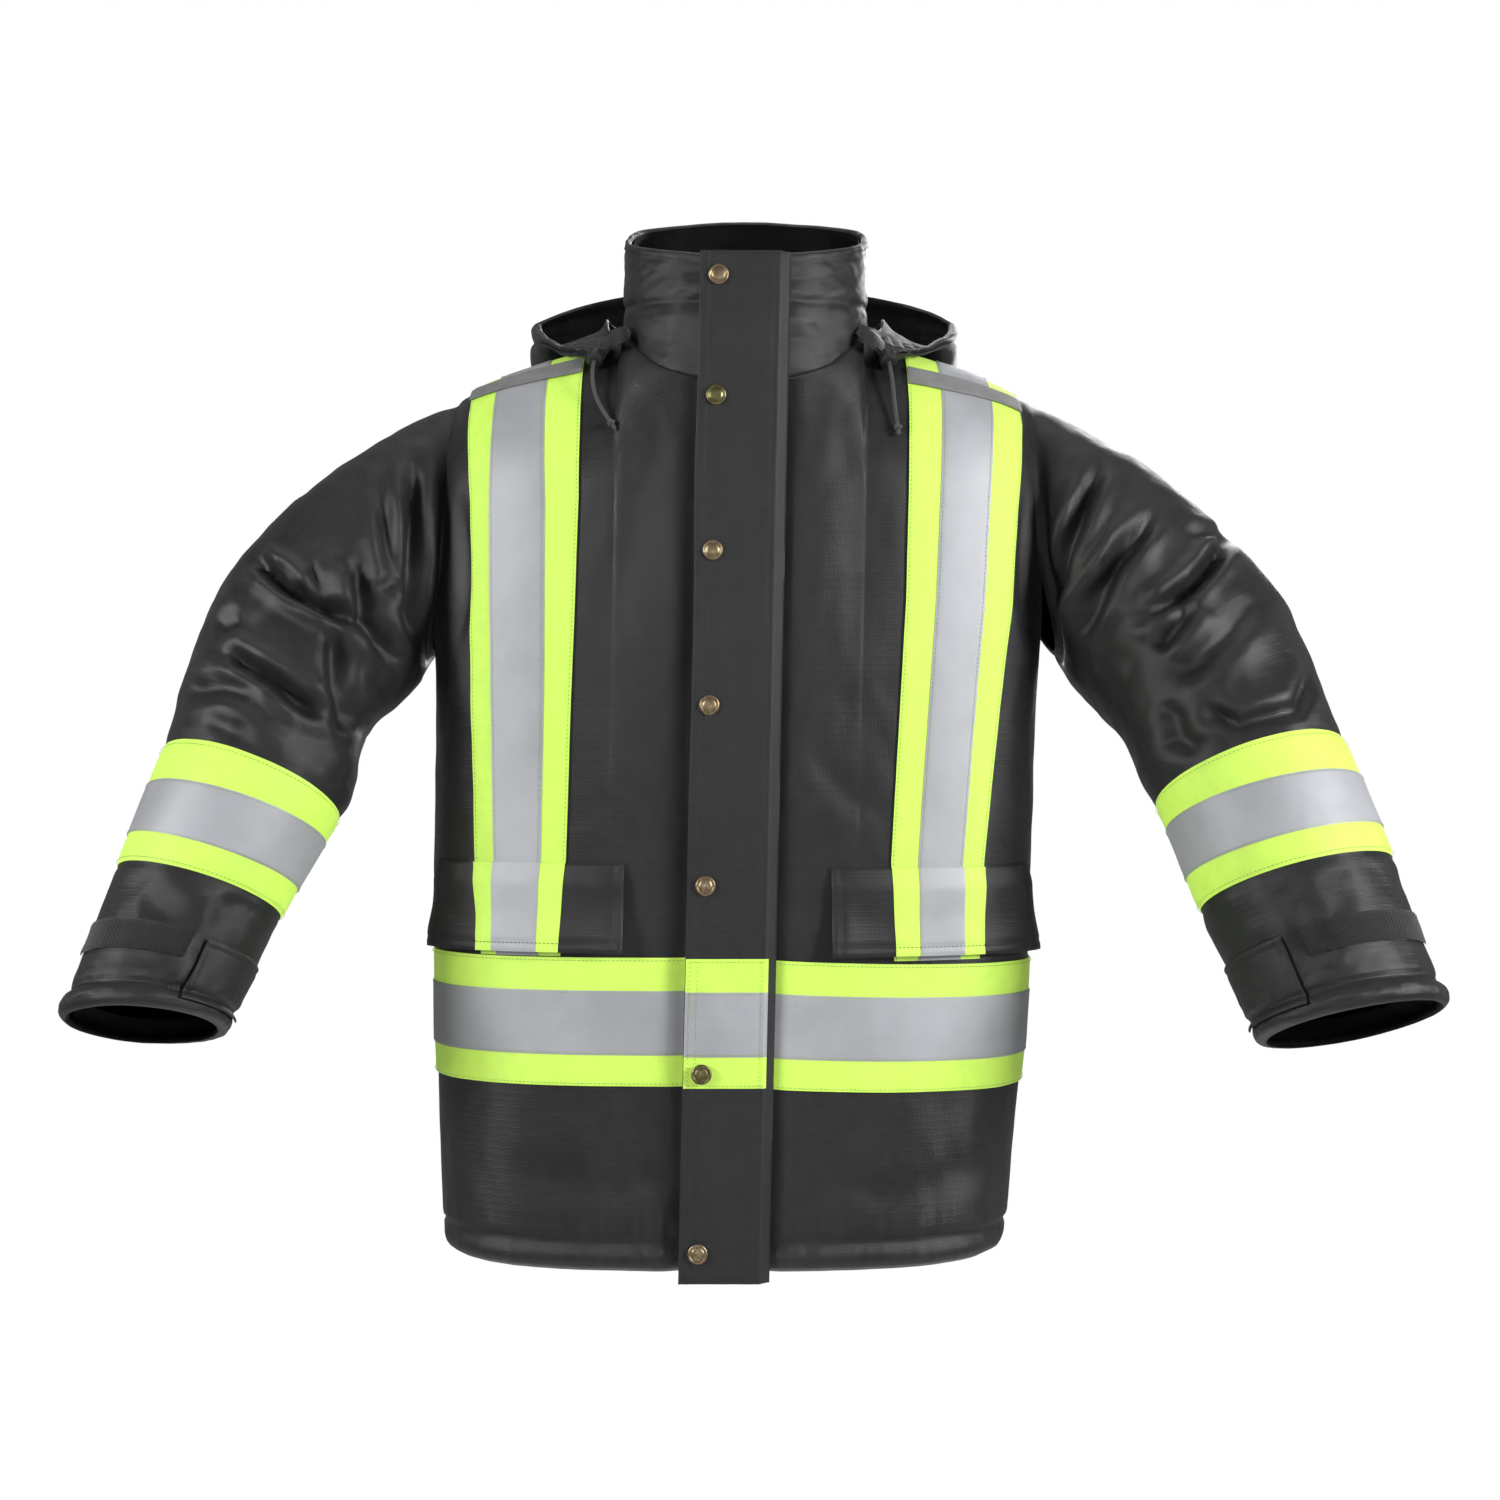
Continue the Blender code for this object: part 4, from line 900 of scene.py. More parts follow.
# ------------------------------------------------------------- storm flap
def flap_form(x, z):
    """(points, normals, ridge) of the storm flap at x from the centre line and z."""
    x, z = np.broadcast_arrays(np.asarray(x, float), np.asarray(z, float))
    free = smooth(-x, -0.020, 0.035)
    pull = np.zeros(x.shape)
    for snap in SNAPS:
        pull = np.maximum(pull, bell(z - snap.z, 0.034) * bell(x - STUD_X, 0.026))
    point = np.stack([centre_x(z) + x, np.zeros(x.shape), z], axis=-1)
    wave = noise_at(point, (9, 1, 13), 11.0)
    small = noise_at(point, (60, 1, 28), 2.2)
    rise = 0.0012 * wave * free + 0.0006 * small - 0.0011 * pull + 0.0010 * free
    for line in (*STORM_STITCH_X, 0.0300):
        rise -= 0.0006 * bell(x - line, 0.0013)
    point[..., 0] += 0.0012 * noise_at(point, (0.1, 1, 10), 4.4) * free
    point[..., 1] = STORM_FACE_Y - rise
    edge = smooth(x, STORM_SEAM_X - 0.006, STORM_SEAM_X + 0.003)
    point[..., 1] += 0.0062 * edge
    return point, facing_front(point), rise * 1.6


def build_storm_flap():
    x, z = np.meshgrid(np.linspace(STORM_FREE_X, STORM_SEAM_X + 0.003, 40),
                       np.linspace(STORM_LOW, STORM_HIGH, 400))
    points, normals, ridge = flap_form(x, z)
    made = layer("storm_flap_cloth", points, normals, 0.0010, 0.0028, MATS["flap"], ridge)
    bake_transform(made)
    place(made, None, "shell_fabric", ["storm_flap"])
    for (name, mat, slot), heights, lift in zip(TAPES, (WAIST_Z, WAIST_SILVER_Z), (0.0019, 0.0027)):
        x, z = np.meshgrid(np.linspace(STORM_FREE_X + 0.0006, STORM_SEAM_X - 0.003, 24),
                           np.linspace(*heights, 30))
        points, normals, ridge = flap_form(x, z)
        tape = layer(f"storm_flap_{name}_tape_cloth", points, normals, lift, TAPE_THICK, mat, ridge)
        place(tape, "storm_flap", slot, [f"storm_flap_{name}_tape"])

    def upright(across, z, lift, **style):
        return seam(flap_form(np.full(len(z), across), z), lift, **style)

    def level(x, height, lift, **style):
        return seam(flap_form(x, np.full(len(x), height)), lift, **style)

    x = np.linspace(STORM_FREE_X + 0.003, STORM_SEAM_X - 0.003, 20)
    z = np.linspace(STORM_LOW + 0.006, STORM_HIGH - 0.004, 300)
    rows = [upright(across, z, 0.0010, rise=0.0003) for across in STORM_STITCH_X]
    rows += [level(x, height, 0.0010, rise=0.0003) for height in (STORM_LOW + 0.004, STORM_HIGH - 0.004)]
    sew("storm_flap_stitches", rows, "storm_flap")
    z = np.linspace(WAIST_Z[0] + 0.001, WAIST_Z[1] - 0.001, 40)
    rows = [level(x, height, 0.0028) for height in tape_seam_heights()]
    rows += [upright(across, z, 0.0028) for across in STORM_STITCH_X]
    sew("storm_flap_tape_stitches", rows, "storm_flap", "tape_thread", "contrast_tape")


CAP_PROFILE = (
    (0.0060, 0.0000), (0.0076, 0.0002), (0.0080, 0.0009), (0.0078, 0.0016), (0.0070, 0.0021),
    (0.0062, 0.0020), (0.0058, 0.0015), (0.0054, 0.0015), (0.0050, 0.0019), (0.0036, 0.0024),
    (0.0016, 0.0026), (0.0004, 0.00262),
)
STUD_PROFILE = (
    (0.0050, 0.0), (0.0052, 0.0006), (0.0036, 0.0010), (0.0022, 0.0012), (0.0024, 0.0030), (0.0016, 0.0036),
)
BEAD_PROFILE = ((0.00045, 0.0), (0.0004, 0.0005), (0.0001, 0.0006))
BEADS = 16
BEAD_CIRCLE = 0.0066


def build_snaps():
    forward = (0, -1, 0)
    for number, centre in enumerate(SNAPS, 1):
        back = high(f"snap_cap_{number}", 1)
        parts = [lathe(CAP_PROFILE, (centre.x, back + 0.0004, centre.z), forward)]
        for k in range(BEADS):
            a = TURN * k / BEADS
            x, z = centre.x + BEAD_CIRCLE * math.cos(a), centre.z + BEAD_CIRCLE * math.sin(a)
            parts.append(lathe(BEAD_PROFILE, (x, back - 0.00165, z), forward, 8))
        made = gathered(f"snap_{number}", parts, MATS["dark_brass" if number in DARK_SNAPS else "brass"])
        place(made, "storm_flap", "antique_brass", [f"snap_cap_{number}"])
    x, z = np.meshgrid(np.linspace(STUD_X - 0.0055, STUD_X + 0.0055, 8),
                       np.linspace(low("snap_studs", 2), high("snap_studs", 2), 160))
    points = np.stack([centre_x(z) + x, np.full(x.shape, -0.1355), z], axis=-1)
    ridge = 0.0002 * noise_at(points, (80, 1, 40), 3.0)
    strip = layer("stud_strip", points, facing_front(points), ridge, 0.0010, MATS["webbing"], ridge)
    place(strip, "root", "zipper_tape", ["snap_studs"])
    parts = [lathe(STUD_PROFILE, (centre_x(centre.z) + STUD_X, -0.1354, centre.z), forward, 28)
             for centre in SNAPS]
    place(gathered("snap_stud_metal", parts, MATS["brass"]), "root", "antique_brass")


def build_zipper():
    start, end = low("left_zipper_half", 2), high("left_zipper_half", 2)
    for side in SIDES:
        sign = SIGN[side]
        x, z = np.meshgrid(np.linspace(0.0022, 0.0180, 9), np.linspace(start, end, 200))
        points = np.stack([centre_x(z) + sign * x, np.full(x.shape, -0.1297), z], axis=-1)
        ridge = 0.0002 * noise_at(points, (200, 1, 60), 1.0)
        tape = layer(f"{side}_zipper_tape", points, facing_front(points), 0.0005, 0.0010, MATS["webbing"],
                     ridge)
        place(tape, "root", "zipper_tape", [f"{side}_zipper_half"])
        parts = []
        shift = 0.0013 if side == "left" else 0.0
        for height in np.arange(start + 0.002, end - 0.002, 0.0026):
            middle = centre_x(height)
            inner, outer = sorted((middle - sign * 0.0012, middle + sign * 0.0038))
            tooth = height + shift
            parts.append(boxed((inner, -0.1322, tooth - 0.0005), (outer, -0.1282, tooth + 0.0005)))
        place(gathered(f"{side}_zipper_teeth", parts, MATS["plastic"]), "root", "zipper_metal")
    for node in ("zipper_slider", "zipper_pull"):
        paint(node, MATS["steel"])


def paint(node, mat):
    """Gives a CAD node that stays its finished material."""
    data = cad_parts[node].data
    data.materials.clear()
    data.materials.append(mat)


# ----------------------------------------------------------- pocket flaps
def pocket_form(side, x, z):
    """(points, normals, ridge) of a pocket flap that hangs from its top seam."""
    bottom, upper = FLAP_Z[side]
    points, normals, rise = on_body(phi_at(x, z), z)
    drop = (upper - z) / (upper - bottom)
    ends = np.minimum(x - FLAP_X[side][0], FLAP_X[side][1] - x)
    corner = (1 - smooth(ends, 0.0, 0.045)) * smooth(drop, 0.3, 1.0)
    puff = 0.0030 * smooth(drop, 0.0, 0.25) + 0.0026 * smooth(drop, 0.5, 1.0)
    wave = 0.0011 * noise_at(points, (22, 22, 10), 8.8) * drop
    groove = 0.0
    for away in (ends - FLAP_SEAM_INSET, (1 - drop) * (upper - bottom) - FLAP_SEAM_INSET):
        groove = groove - 0.0007 * bell(away, 0.0016)
    lift = 0.0020 + puff + wave + 0.0040 * corner + groove
    return points + normals * lift[..., None], normals, rise + wave + groove + 0.001 * corner


def build_pocket_flaps():
    for side in SIDES:
        bottom, upper = FLAP_Z[side]
        first, last = FLAP_X[side]
        x, z = np.meshgrid(np.linspace(first, last, 70), np.linspace(bottom, upper, 34))
        points, normals, ridge = pocket_form(side, x, z)
        made = layer(f"{side}_pocket_flap_cloth", points, normals, 0.0012, 0.0030, MATS["shell"], ridge)
        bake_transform(made)
        place(made, None, "shell_fabric", [f"{side}_pocket_flap"])
        for (name, mat, slot), edges, lift in zip(TAPES, STRIPE_EDGES, (0.0021, 0.0029)):
            z = np.linspace(bottom + 0.0004, upper, 30)
            rows = np.array(STRIPE_LINES[side])
            first_x, last_x = (np.interp(z, rows[:, 0], rows[:, 1 + k]) for k in edges)
            x = first_x[:, None] + (last_x - first_x)[:, None] * np.linspace(0, 1, 26)
            points, normals, ridge = pocket_form(side, x, np.broadcast_to(z[:, None], x.shape))
            tape = layer(f"{side}_flap_{name}_tape", points, normals, lift, TAPE_THICK, mat, ridge)
            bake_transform(tape)
            place(tape, None, slot, [f"{side}_flap_tape"] if name == "contrast" else [])
        left, right, foot = first + FLAP_SEAM_INSET, last - FLAP_SEAM_INSET, bottom + FLAP_SEAM_INSET
        z = np.linspace(foot, upper - 0.010, 30)
        runs = ((np.linspace(left, right, 60), np.full(60, foot)), (np.full(30, left), z),
                (np.full(30, right), z))
        rows = [seam(pocket_form(side, x[None, :], z[None, :]), 0.0031) for x, z in runs]
        sew(f"{side}_flap_stitches", rows, f"{side}_pocket_flap")


# ---------------------------------------------------------------- sleeves
def station(side, t):
    rows = np.array(SLEEVE_STATIONS[side])
    last = len(rows) - 1
    if t < 0:
        return rows[0] + (rows[1] - rows[0]) * t * np.array((1, 0.4, 0.4, 1, 0, 0))
    i = min(int(t), last - 1)
    f = t - i
    before, after = rows[max(i - 1, 0)], rows[min(i + 2, last)]
    a, b = rows[i], rows[i + 1]
    slope_a = (b - before) / (2 if i > 0 else 1)
    slope_b = (after - a) / (2 if i + 2 <= last else 1)
    return hermite(f, a, slope_a, b, slope_b)


def sleeve_frame(side, t):
    here = station(side, t)
    step = 0.02
    tangent = station(side, min(t + step, 4.0))[:3] - station(side, max(t - step, 0))[:3]
    tilt = math.radians(here[3])
    across = np.array((math.cos(tilt), 0.0, math.sin(tilt)))
    forward = unit(np.cross(tangent, across))
    if forward[1] > 0:
        forward = -forward
    square = min(1.0, max(0.0, t) / 0.9)
    forward = unit(forward * square + np.array((0.0, -1.0, 0.0)) * (1 - square))
    return here[:3], across, forward, here[4], here[5]


def sleeve_base(side, ts, thetas):
    rows, insides = [], []
    for t in ts:
        centre, across, forward, wide, deep = sleeve_frame(side, t)
        ring = centre + across * wide * np.cos(thetas)[:, None] + forward * deep * np.sin(thetas)[:, None]
        tuck = 0.012 * np.sin(thetas) ** 2 * max(0.0, 1 - max(0.0, t) / 0.6)
        ring[:, 0] -= tuck * SIGN[side]
        rows.append(ring)
        insides.append(np.broadcast_to(centre, ring.shape))
    return np.array(rows), np.array(insides)


SLEEVE_FOLDS = {
    "right": (
        (((-0.272, -0.074), (-0.273, -0.158), (-0.276, -0.232)), 0.0105, 0.0058),
        (((-0.247, -0.130), (-0.247, -0.175), (-0.246, -0.215)), 0.0060, 0.0050),
        (((-0.297, -0.098), (-0.285, -0.172), (-0.296, -0.187)), 0.0050, 0.0055),
        (((-0.311, -0.158), (-0.306, -0.205), (-0.288, -0.240)), 0.0085, 0.0060),
        (((-0.398, -0.154), (-0.366, -0.180), (-0.306, -0.214)), 0.0120, 0.0054),
        (((-0.349, -0.172), (-0.331, -0.190), (-0.313, -0.206)), 0.0065, 0.0070),
        (((-0.378, -0.158), (-0.355, -0.177)), 0.0035, 0.0040),
        (((-0.346, -0.160), (-0.343, -0.176)), 0.0025, 0.0028),
        (((-0.409, -0.232), (-0.366, -0.256), (-0.330, -0.286)), 0.0095, 0.0058),
        (((-0.420, -0.215), (-0.398, -0.205)), 0.0055, 0.0085),
        (((-0.445, -0.262), (-0.405, -0.262), (-0.372, -0.266)), 0.0040, 0.0080),
        (((-0.326, -0.212), (-0.322, -0.262), (-0.314, -0.300)), 0.0085, 0.0065),
        (((-0.420, -0.285), (-0.390, -0.300), (-0.360, -0.322)), 0.0045, 0.0070),
        (((-0.455, -0.420), (-0.420, -0.440), (-0.395, -0.470)), 0.0030, 0.0090),
        (((-0.380, -0.415), (-0.400, -0.450), (-0.405, -0.490)), 0.0026, 0.0080),
    ),
    "left": (
        (((0.285, -0.078), (0.256, -0.150), (0.244, -0.210)), 0.0095, 0.0058),
        (((0.325, -0.120), (0.290, -0.168), (0.268, -0.220)), 0.0090, 0.0060),
        (((0.305, -0.130), (0.283, -0.172), (0.262, -0.205)), 0.0045, 0.0045),
        (((0.393, -0.134), (0.348, -0.180), (0.311, -0.206)), 0.0105, 0.0056),
        (((0.348, -0.137), (0.392, -0.133)), 0.0040, 0.0050),
        (((0.400, -0.190), (0.363, -0.226), (0.322, -0.258)), 0.0050, 0.0090),
        (((0.346, -0.193), (0.318, -0.234)), 0.0075, 0.0070),
        (((0.346, -0.276), (0.372, -0.291), (0.420, -0.280), (0.440, -0.243)), 0.0060, 0.0062),
        (((0.325, -0.270), (0.330, -0.300), (0.350, -0.318)), 0.0050, 0.0075),
        (((0.440, -0.420), (0.420, -0.445), (0.380, -0.470)), 0.0030, 0.0090),
        (((0.410, -0.415), (0.418, -0.450), (0.400, -0.485)), 0.0026, 0.0080),
    ),
}


def sleeve_relief(side, points, normals, ts):
    """Folds, filling and seams of a sleeve. ts holds each row's place along it."""
    t = np.broadcast_to(np.asarray(ts)[:, None], points.shape[:-1])
    front = smooth(-normals[..., 1], -0.15, 0.45)
    back = smooth(normals[..., 1], -0.15, 0.45)
    shift = BACK_SHIFT * np.array((SIGN[side], 1.0, 1.0))
    folds = strokes(points, SLEEVE_FOLDS[side]) * front
    folds += 0.8 * strokes(points - shift, SLEEVE_FOLDS[side]) * back
    folds += 0.0040 * noise_at(points, 11.0, 9.3) + 0.0018 * noise_at(points, (30, 22, 30), 6.1)
    folds += 0.0008 * noise_at(points, (70, 60, 70), 2.5)
    calm = 1 - 0.72 * smooth(t, 1.80, 1.98) * (1 - smooth(t, 3.02, 3.15))
    calm = calm * (1 - 0.45 * smooth(t, 3.1, 3.4)) * smooth(t, -0.10, 0.25)
    rise = folds * calm
    rise -= 0.0030 * bell(t - 0.02, 0.045)
    rise += 0.0030 * smooth(t, 0.05, 0.25) * (1 - smooth(t, 0.5, 1.0))
    pucker = noise_at(points, (120, 120, 120), 5.0)
    rise += 0.0034 * bell(t - 3.93, 0.07) * (1 + 0.3 * pucker)
    rise -= 0.0026 * bell(t - CUFF_GROOVE_T, 0.028) * (1 + 0.4 * pucker)
    rise += 0.0009 * pucker * bell(t - 3.78, 0.09)
    for edge in BAND_SPANS[0]:
        rise -= 0.0012 * bell(t - edge, 0.05)
    return rise


def sleeve_surface(side, ts, thetas):
    """(points, normals, relief) of the finished sleeve cloth."""
    step = 0.02
    base, inside = sleeve_base(side, ts, thetas)
    beside = sleeve_base(side, ts, thetas + step)[0] - sleeve_base(side, ts, thetas - step)[0]
    after = sleeve_base(side, np.minimum(ts + step, 3.999), thetas)[0]
    before = sleeve_base(side, np.maximum(ts - step, -0.13), thetas)[0]
    normals = unit(np.cross(beside, after - before))
    toward = (normals * (base - inside)).sum(axis=-1, keepdims=True)
    normals = normals * np.where(toward < 0, -1.0, 1.0)
    rise = sleeve_relief(side, base, normals, ts)
    return base + normals * rise[..., None], normals, rise


def build_sleeves():
    thetas = np.linspace(0, TURN, 168, endpoint=False)
    for side in SIDES:
        ts = np.concatenate([np.linspace(-0.12, SPLIT_T, 52), np.linspace(SPLIT_T, 3.93, 190)[1:],
                             np.linspace(3.93, 4.0, 10)[1:]])
        points, normals, rise = sleeve_surface(side, ts, thetas)
        shading = grid_normals(points, points - normals, True)
        end = (4.0 - ts) * 0.100
        thick = 0.0040 + 0.0050 * (1 - smooth(end, 0.014, 0.026))
        roll = rounded_edge(end, 0.0045)
        lift = -thick / 2 + thick * roll / 2
        thick = thick * roll
        cut = 51
        pieces = ((f"{side}_sleeve_top_cloth", slice(0, cut + 1), [f"{side}_sleeve_head"]),
                  (f"{side}_sleeve_cloth", slice(cut, None),
                   [f"{side}_upper_sleeve", f"{side}_elbow_section", f"{side}_forearm_sleeve"]))
        for number, (name, rows, nodes) in enumerate(pieces):
            made = layer(name, points[rows], normals[rows], lift[rows, None], thick[rows, None],
                         MATS["shell"], rise[rows], closed=True, rounded=False,
                         shading=None if number else shading[rows], inside=MATS["lining"])
            if number:
                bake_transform(made)
            else:
                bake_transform(made)
            place(made, None, "shell_fabric", nodes)
        build_sleeve_trim(side)


def sleeve_patch(name, side, ts, thetas, lift, thick, mat, closed=False):
    points, normals, rise = sleeve_surface(side, ts, thetas)
    return layer(name, points, normals, lift, thick, mat, rise, closed=closed)


def build_sleeve_trim(side):
    around = np.linspace(0, TURN, 168, endpoint=False)
    ring = np.append(around, TURN)
    body = f"{side}_forearm"
    for (name, mat, slot), span, lift in zip(TAPES, BAND_SPANS, (0.0012, 0.0020)):
        made = sleeve_patch(f"{side}_sleeve_{name}_band_cloth", side, np.linspace(*span, 28), around, lift,
                            TAPE_THICK, mat, True)
        place(made, body, slot, [f"{side}_sleeve_{name}_band"])
    rows = [seam(sleeve_surface(side, np.array([t]), ring), 0.0021) for t in (2.03, 2.97, 2.285, 2.725)]
    sew(f"{side}_band_stitches", rows, body, "tape_thread", "contrast_tape")
    rows = [seam(sleeve_surface(side, np.array([CUFF_GROOVE_T]), ring), 0.0004)]
    sew(f"{side}_cuff_stitches", rows, body)
    build_loop_strip(side, body)
    build_tab(side)


def build_loop_strip(side, body):
    thetas = np.radians(np.linspace(20, 115, 70))
    ts = np.linspace(3.42, 3.62, 14)
    made = sleeve_patch(f"{side}_loop_strip", side, ts, thetas, 0.0022, 0.0016, MATS["loop"])
    place(made, body, "shell_fabric", [f"{side}_cuff_loop_strip"])
    points = np.array([v.co for v in made.data.vertices])
    push = 0.00025 * noise_at(points, 900.0, 4.0)
    normals = np.array([v.normal for v in made.data.vertices])
    made.data.vertices.foreach_set("co", (points + normals * push[:, None]).astype(np.float32).ravel())


def build_tab(side):
    thetas = np.radians(np.linspace(125, 190, 46))
    ts = np.linspace(*TAB_SPAN, 30)
    edge = np.arange(46)[None, :] / 45
    curl = TAB_CURL * (1 - smooth(edge, 0.0, 0.35))
    ends = np.minimum(ts - TAB_SPAN[0], TAB_SPAN[1] - ts)[:, None] * 0.1
    groove = -0.0006 * bell(ends - 0.005, 0.0014) - 0.0006 * bell(edge * 0.062 - 0.005, 0.0014)
    made = sleeve_patch(f"{side}_tab_cloth", side, ts, thetas, 0.0035 + curl + groove, 0.0026, MATS["flap"])
    hinge, _, _ = sleeve_surface(side, np.array([3.67]), np.radians(np.array([190.0, 180.0])))
    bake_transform(made)
    place(made, None, "shell_fabric", [f"{side}_cuff_tab"])
    line = np.radians(np.linspace(129, 178, 40))
    rows = [seam(sleeve_surface(side, np.array([t]), line), 0.0038) for t in (3.50, 3.85)]
    sew(f"{side}_tab_stitches", rows, f"{side}_cuff_tab")


# ------------------------------------------------------------ collar, neck
def collar_base(psi, share):
    psi, share = np.broadcast_arrays(np.asarray(psi, float), np.asarray(share, float))
    across = np.abs(np.sin(psi)) / NECK_RADIUS
    along = np.abs(np.cos(psi)) / NECK_DEPTH
    reach = (across**NECK_POWER + along**NECK_POWER) ** (-1 / NECK_POWER)
    x, y = reach * np.sin(psi), NECK_CENTRE_Y - reach * np.cos(psi)
    part = np.minimum(1.0, np.abs(x) / NECK_RADIUS)
    middle = np.where(np.cos(psi) > 0, NECK_FRONT_Z, NECK_BACK_Z)
    base = middle + (NECK_SIDE_Z - middle) * part**3 - 0.001
    rim = COLLAR_RIM_FRONT_Z + (COLLAR_RIM_BACK_Z - COLLAR_RIM_FRONT_Z) * (1 - np.cos(psi)) / 2
    z = base + (rim - base) * share
    return np.stack([centre_x(z) + x, y, z], axis=-1)


def collar_surface(psi, share):
    points = collar_base(psi, share)
    inside = points.copy()
    inside[..., 0] = centre_x(points[..., 2])
    inside[..., 1] = NECK_CENTRE_Y
    normals = grid_normals(points, inside)
    seam = 0.042 + 0.030 * (1 - np.cos(psi)) / 2
    z = points[..., 2]
    rise = 0.0022 * noise_at(points, (12, 12, 16), 2.0) + 0.0010 * noise_at(points, (40, 40, 60), 9.0)
    rise += 0.0006 * noise_at(points, (90, 90, 160), 3.3)
    rise -= 0.0012 * bell(z - seam, 0.0030)
    rise += 0.0010 * bell(z - seam - 0.010, 0.008) + 0.0012 * bell(z - seam + 0.014, 0.010)
    rise -= 0.0006 * bell(z - (collar_base(psi, 1.0)[..., 2] - 0.008), 0.0018)
    return points + normals * rise[..., None], normals, rise


def build_collar():
    start = math.atan(SLOT_HALF / NECK_DEPTH)
    psi, share = np.meshgrid(np.linspace(start, TURN - start, 300), np.linspace(0, 1, 60))
    points, normals, rise = collar_surface(psi, share)
    thick = 0.0055 * rounded_edge((1 - share) * 0.110, 0.0035)
    made = layer("collar_cloth", points, normals, -0.0028 + thick / 2 + 0.0008, thick, MATS["shell"], rise)
    place(made, "root", "shell_fabric", ["collar_outer"])
    psi, share = np.meshgrid(np.linspace(start + 0.06, TURN - start - 0.06, 200),
                             np.linspace(0.0, 0.97, 40))
    points, normals, rise = collar_surface(psi, share)
    quilt = 0.0008 * np.abs(np.sin(share * 22))
    made = layer("collar_lining_cloth", points, normals, -0.0062 + 0.6 * quilt, 0.0016, MATS["lining"], rise)
    place(made, "root", "lining", ["collar_lining"])
    psis = np.linspace(start + 0.02, TURN - start - 0.02, 300)
    rim = 0.93
    points, normals, _ = collar_surface(np.tile(psis, (3, 1)), np.array([[rim - 0.02], [rim], [rim + 0.02]]))
    sew("collar_stitches", [seam((points[1], normals[1]), 0.0009)], "root")


def build_inside():
    """Lining, insulation and pocket bags behind the shell."""
    phis = np.linspace(math.radians(17), TURN - math.radians(17), 220)
    for name, lift, thick, mat, slot, node, quilt, reach in (
        ("insulation_quilt", -0.0165, 0.0040, "batt", "insulation", "insulation_batt", 0.0022, 0.25),
        ("body_lining_cloth", -0.0215, 0.0012, "lining", "lining", "body_lining", 0.0010, 0.985),
    ):
        phi, level = np.meshgrid(phis, levels_to(CHEST_Z + reach, 90, 40, -0.705))
        points, normals = torso_grid(phi, level)
        x, z = phi * 0.19, points[..., 2]
        pillow = np.abs(np.sin((x + z) * 42)) * np.abs(np.sin((x - z) * 42))
        rise = quilt * pillow + 0.0012 * noise_at(points, 14.0, 5.0)
        cap = np.clip(level - CHEST_Z, 0, 1)
        depth = lift * (1 - 0.45 * smooth(cap, 0.6, 1.0))
        middle = (phi[:, 1:] + phi[:, :-1])[:-1] / 2
        height = (level[:-1] + level[1:])[:, 1:] / 2
        holes = (np.abs(np.abs(np.sin(middle)) - 1) < 0.10) & (height > -0.222) & (height < CHEST_Z + 0.55)
        made = layer(name, points, normals, depth + rise, thick, MATS[mat], rise, holes=holes)
        place(made, "root", slot, [node])
    for side in SIDES:
        box_low, box_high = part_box(f"{side}_pocket_bag")
        across = np.linspace(max(box_low.x, POCKET_LIMITS[0]), min(box_high.x, POCKET_LIMITS[1]), 40)
        x, z = np.meshgrid(across, np.linspace(box_low.z, box_high.z, 44))
        points, normals = torso_grid(phi_at(x, z), z)
        u = np.linspace(-1, 1, 40)[None, :]
        v = np.linspace(-1, 1, 44)[:, None]
        depth = 0.0050 + 0.0065 * (1 - u**4) * (1 - v**4) + 0.0006 * noise_at(points, 60.0, 1.0)
        made = layer(f"{side}_pocket_bag_cloth", points, normals, -depth, 0.0010, MATS["lining"], -depth / 3)
        place(made, "root", "lining", [f"{side}_pocket_bag"])
    build_hanger(*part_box("hanger_loop"))


def build_hanger(box_low, box_high):
    """A flat tape loop sewn inside the back of the neck at its two ends."""
    share = np.linspace(0, 1, 60)
    x = box_low.x + (box_high.x - box_low.x) * share
    stand = np.clip(np.minimum(share, 1 - share) / 0.07, 0, 1)
    y = box_high.y - (box_high.y - box_low.y) * np.sqrt(1 - (1 - stand) ** 2) - 0.0004
    z = np.linspace(box_low.z, box_high.z, 9)
    grid_x, grid_z = np.meshgrid(x, z)
    sag = 0.0015 * np.sin(math.pi * share)
    points = np.stack([grid_x, np.broadcast_to(y, grid_x.shape), grid_z - sag], axis=-1)
    inside = points.copy()
    inside[..., 1] += 0.02
    normals = grid_normals(points, inside)
    made = layer("hanger_tape", points, normals, 0.0, 0.0010, MATS["webbing"])
    place(made, "root", "zipper_tape", ["hanger_loop"])


# ------------------------------------------------------------- hood, cords
SHOULDER_SAMPLES = torso(
    *np.meshgrid(np.radians(np.arange(0, 360, 3)), CHEST_Z + np.linspace(0.05, 1, 20)),
).reshape(-1, 3)


def shoulder_height(points):
    """A smooth upper envelope of the shoulders under each point."""
    heights = np.full(points.shape[:-1], HEM_Z)
    for sample in SHOULDER_SAMPLES:
        away = (points[..., 0] - sample[0]) ** 2 + (points[..., 1] - sample[1]) ** 2
        heights = np.maximum(heights, np.where(away < 0.0009, sample[2] - 60 * away, HEM_Z))
    return heights


def rounded_profile(rows, at):
    """Catmull-Rom reading of a list of rows."""
    rows = np.array(rows)
    last = len(rows) - 1
    i = np.clip(at.astype(int), 0, last - 1)
    f = (at - i)[..., None]
    before, after = rows[np.maximum(i - 1, 0)], rows[np.minimum(i + 2, last)]
    a, b = rows[i], rows[i + 1]
    return hermite(f, a, (b - before) / 2, b, (after - a) / 2)


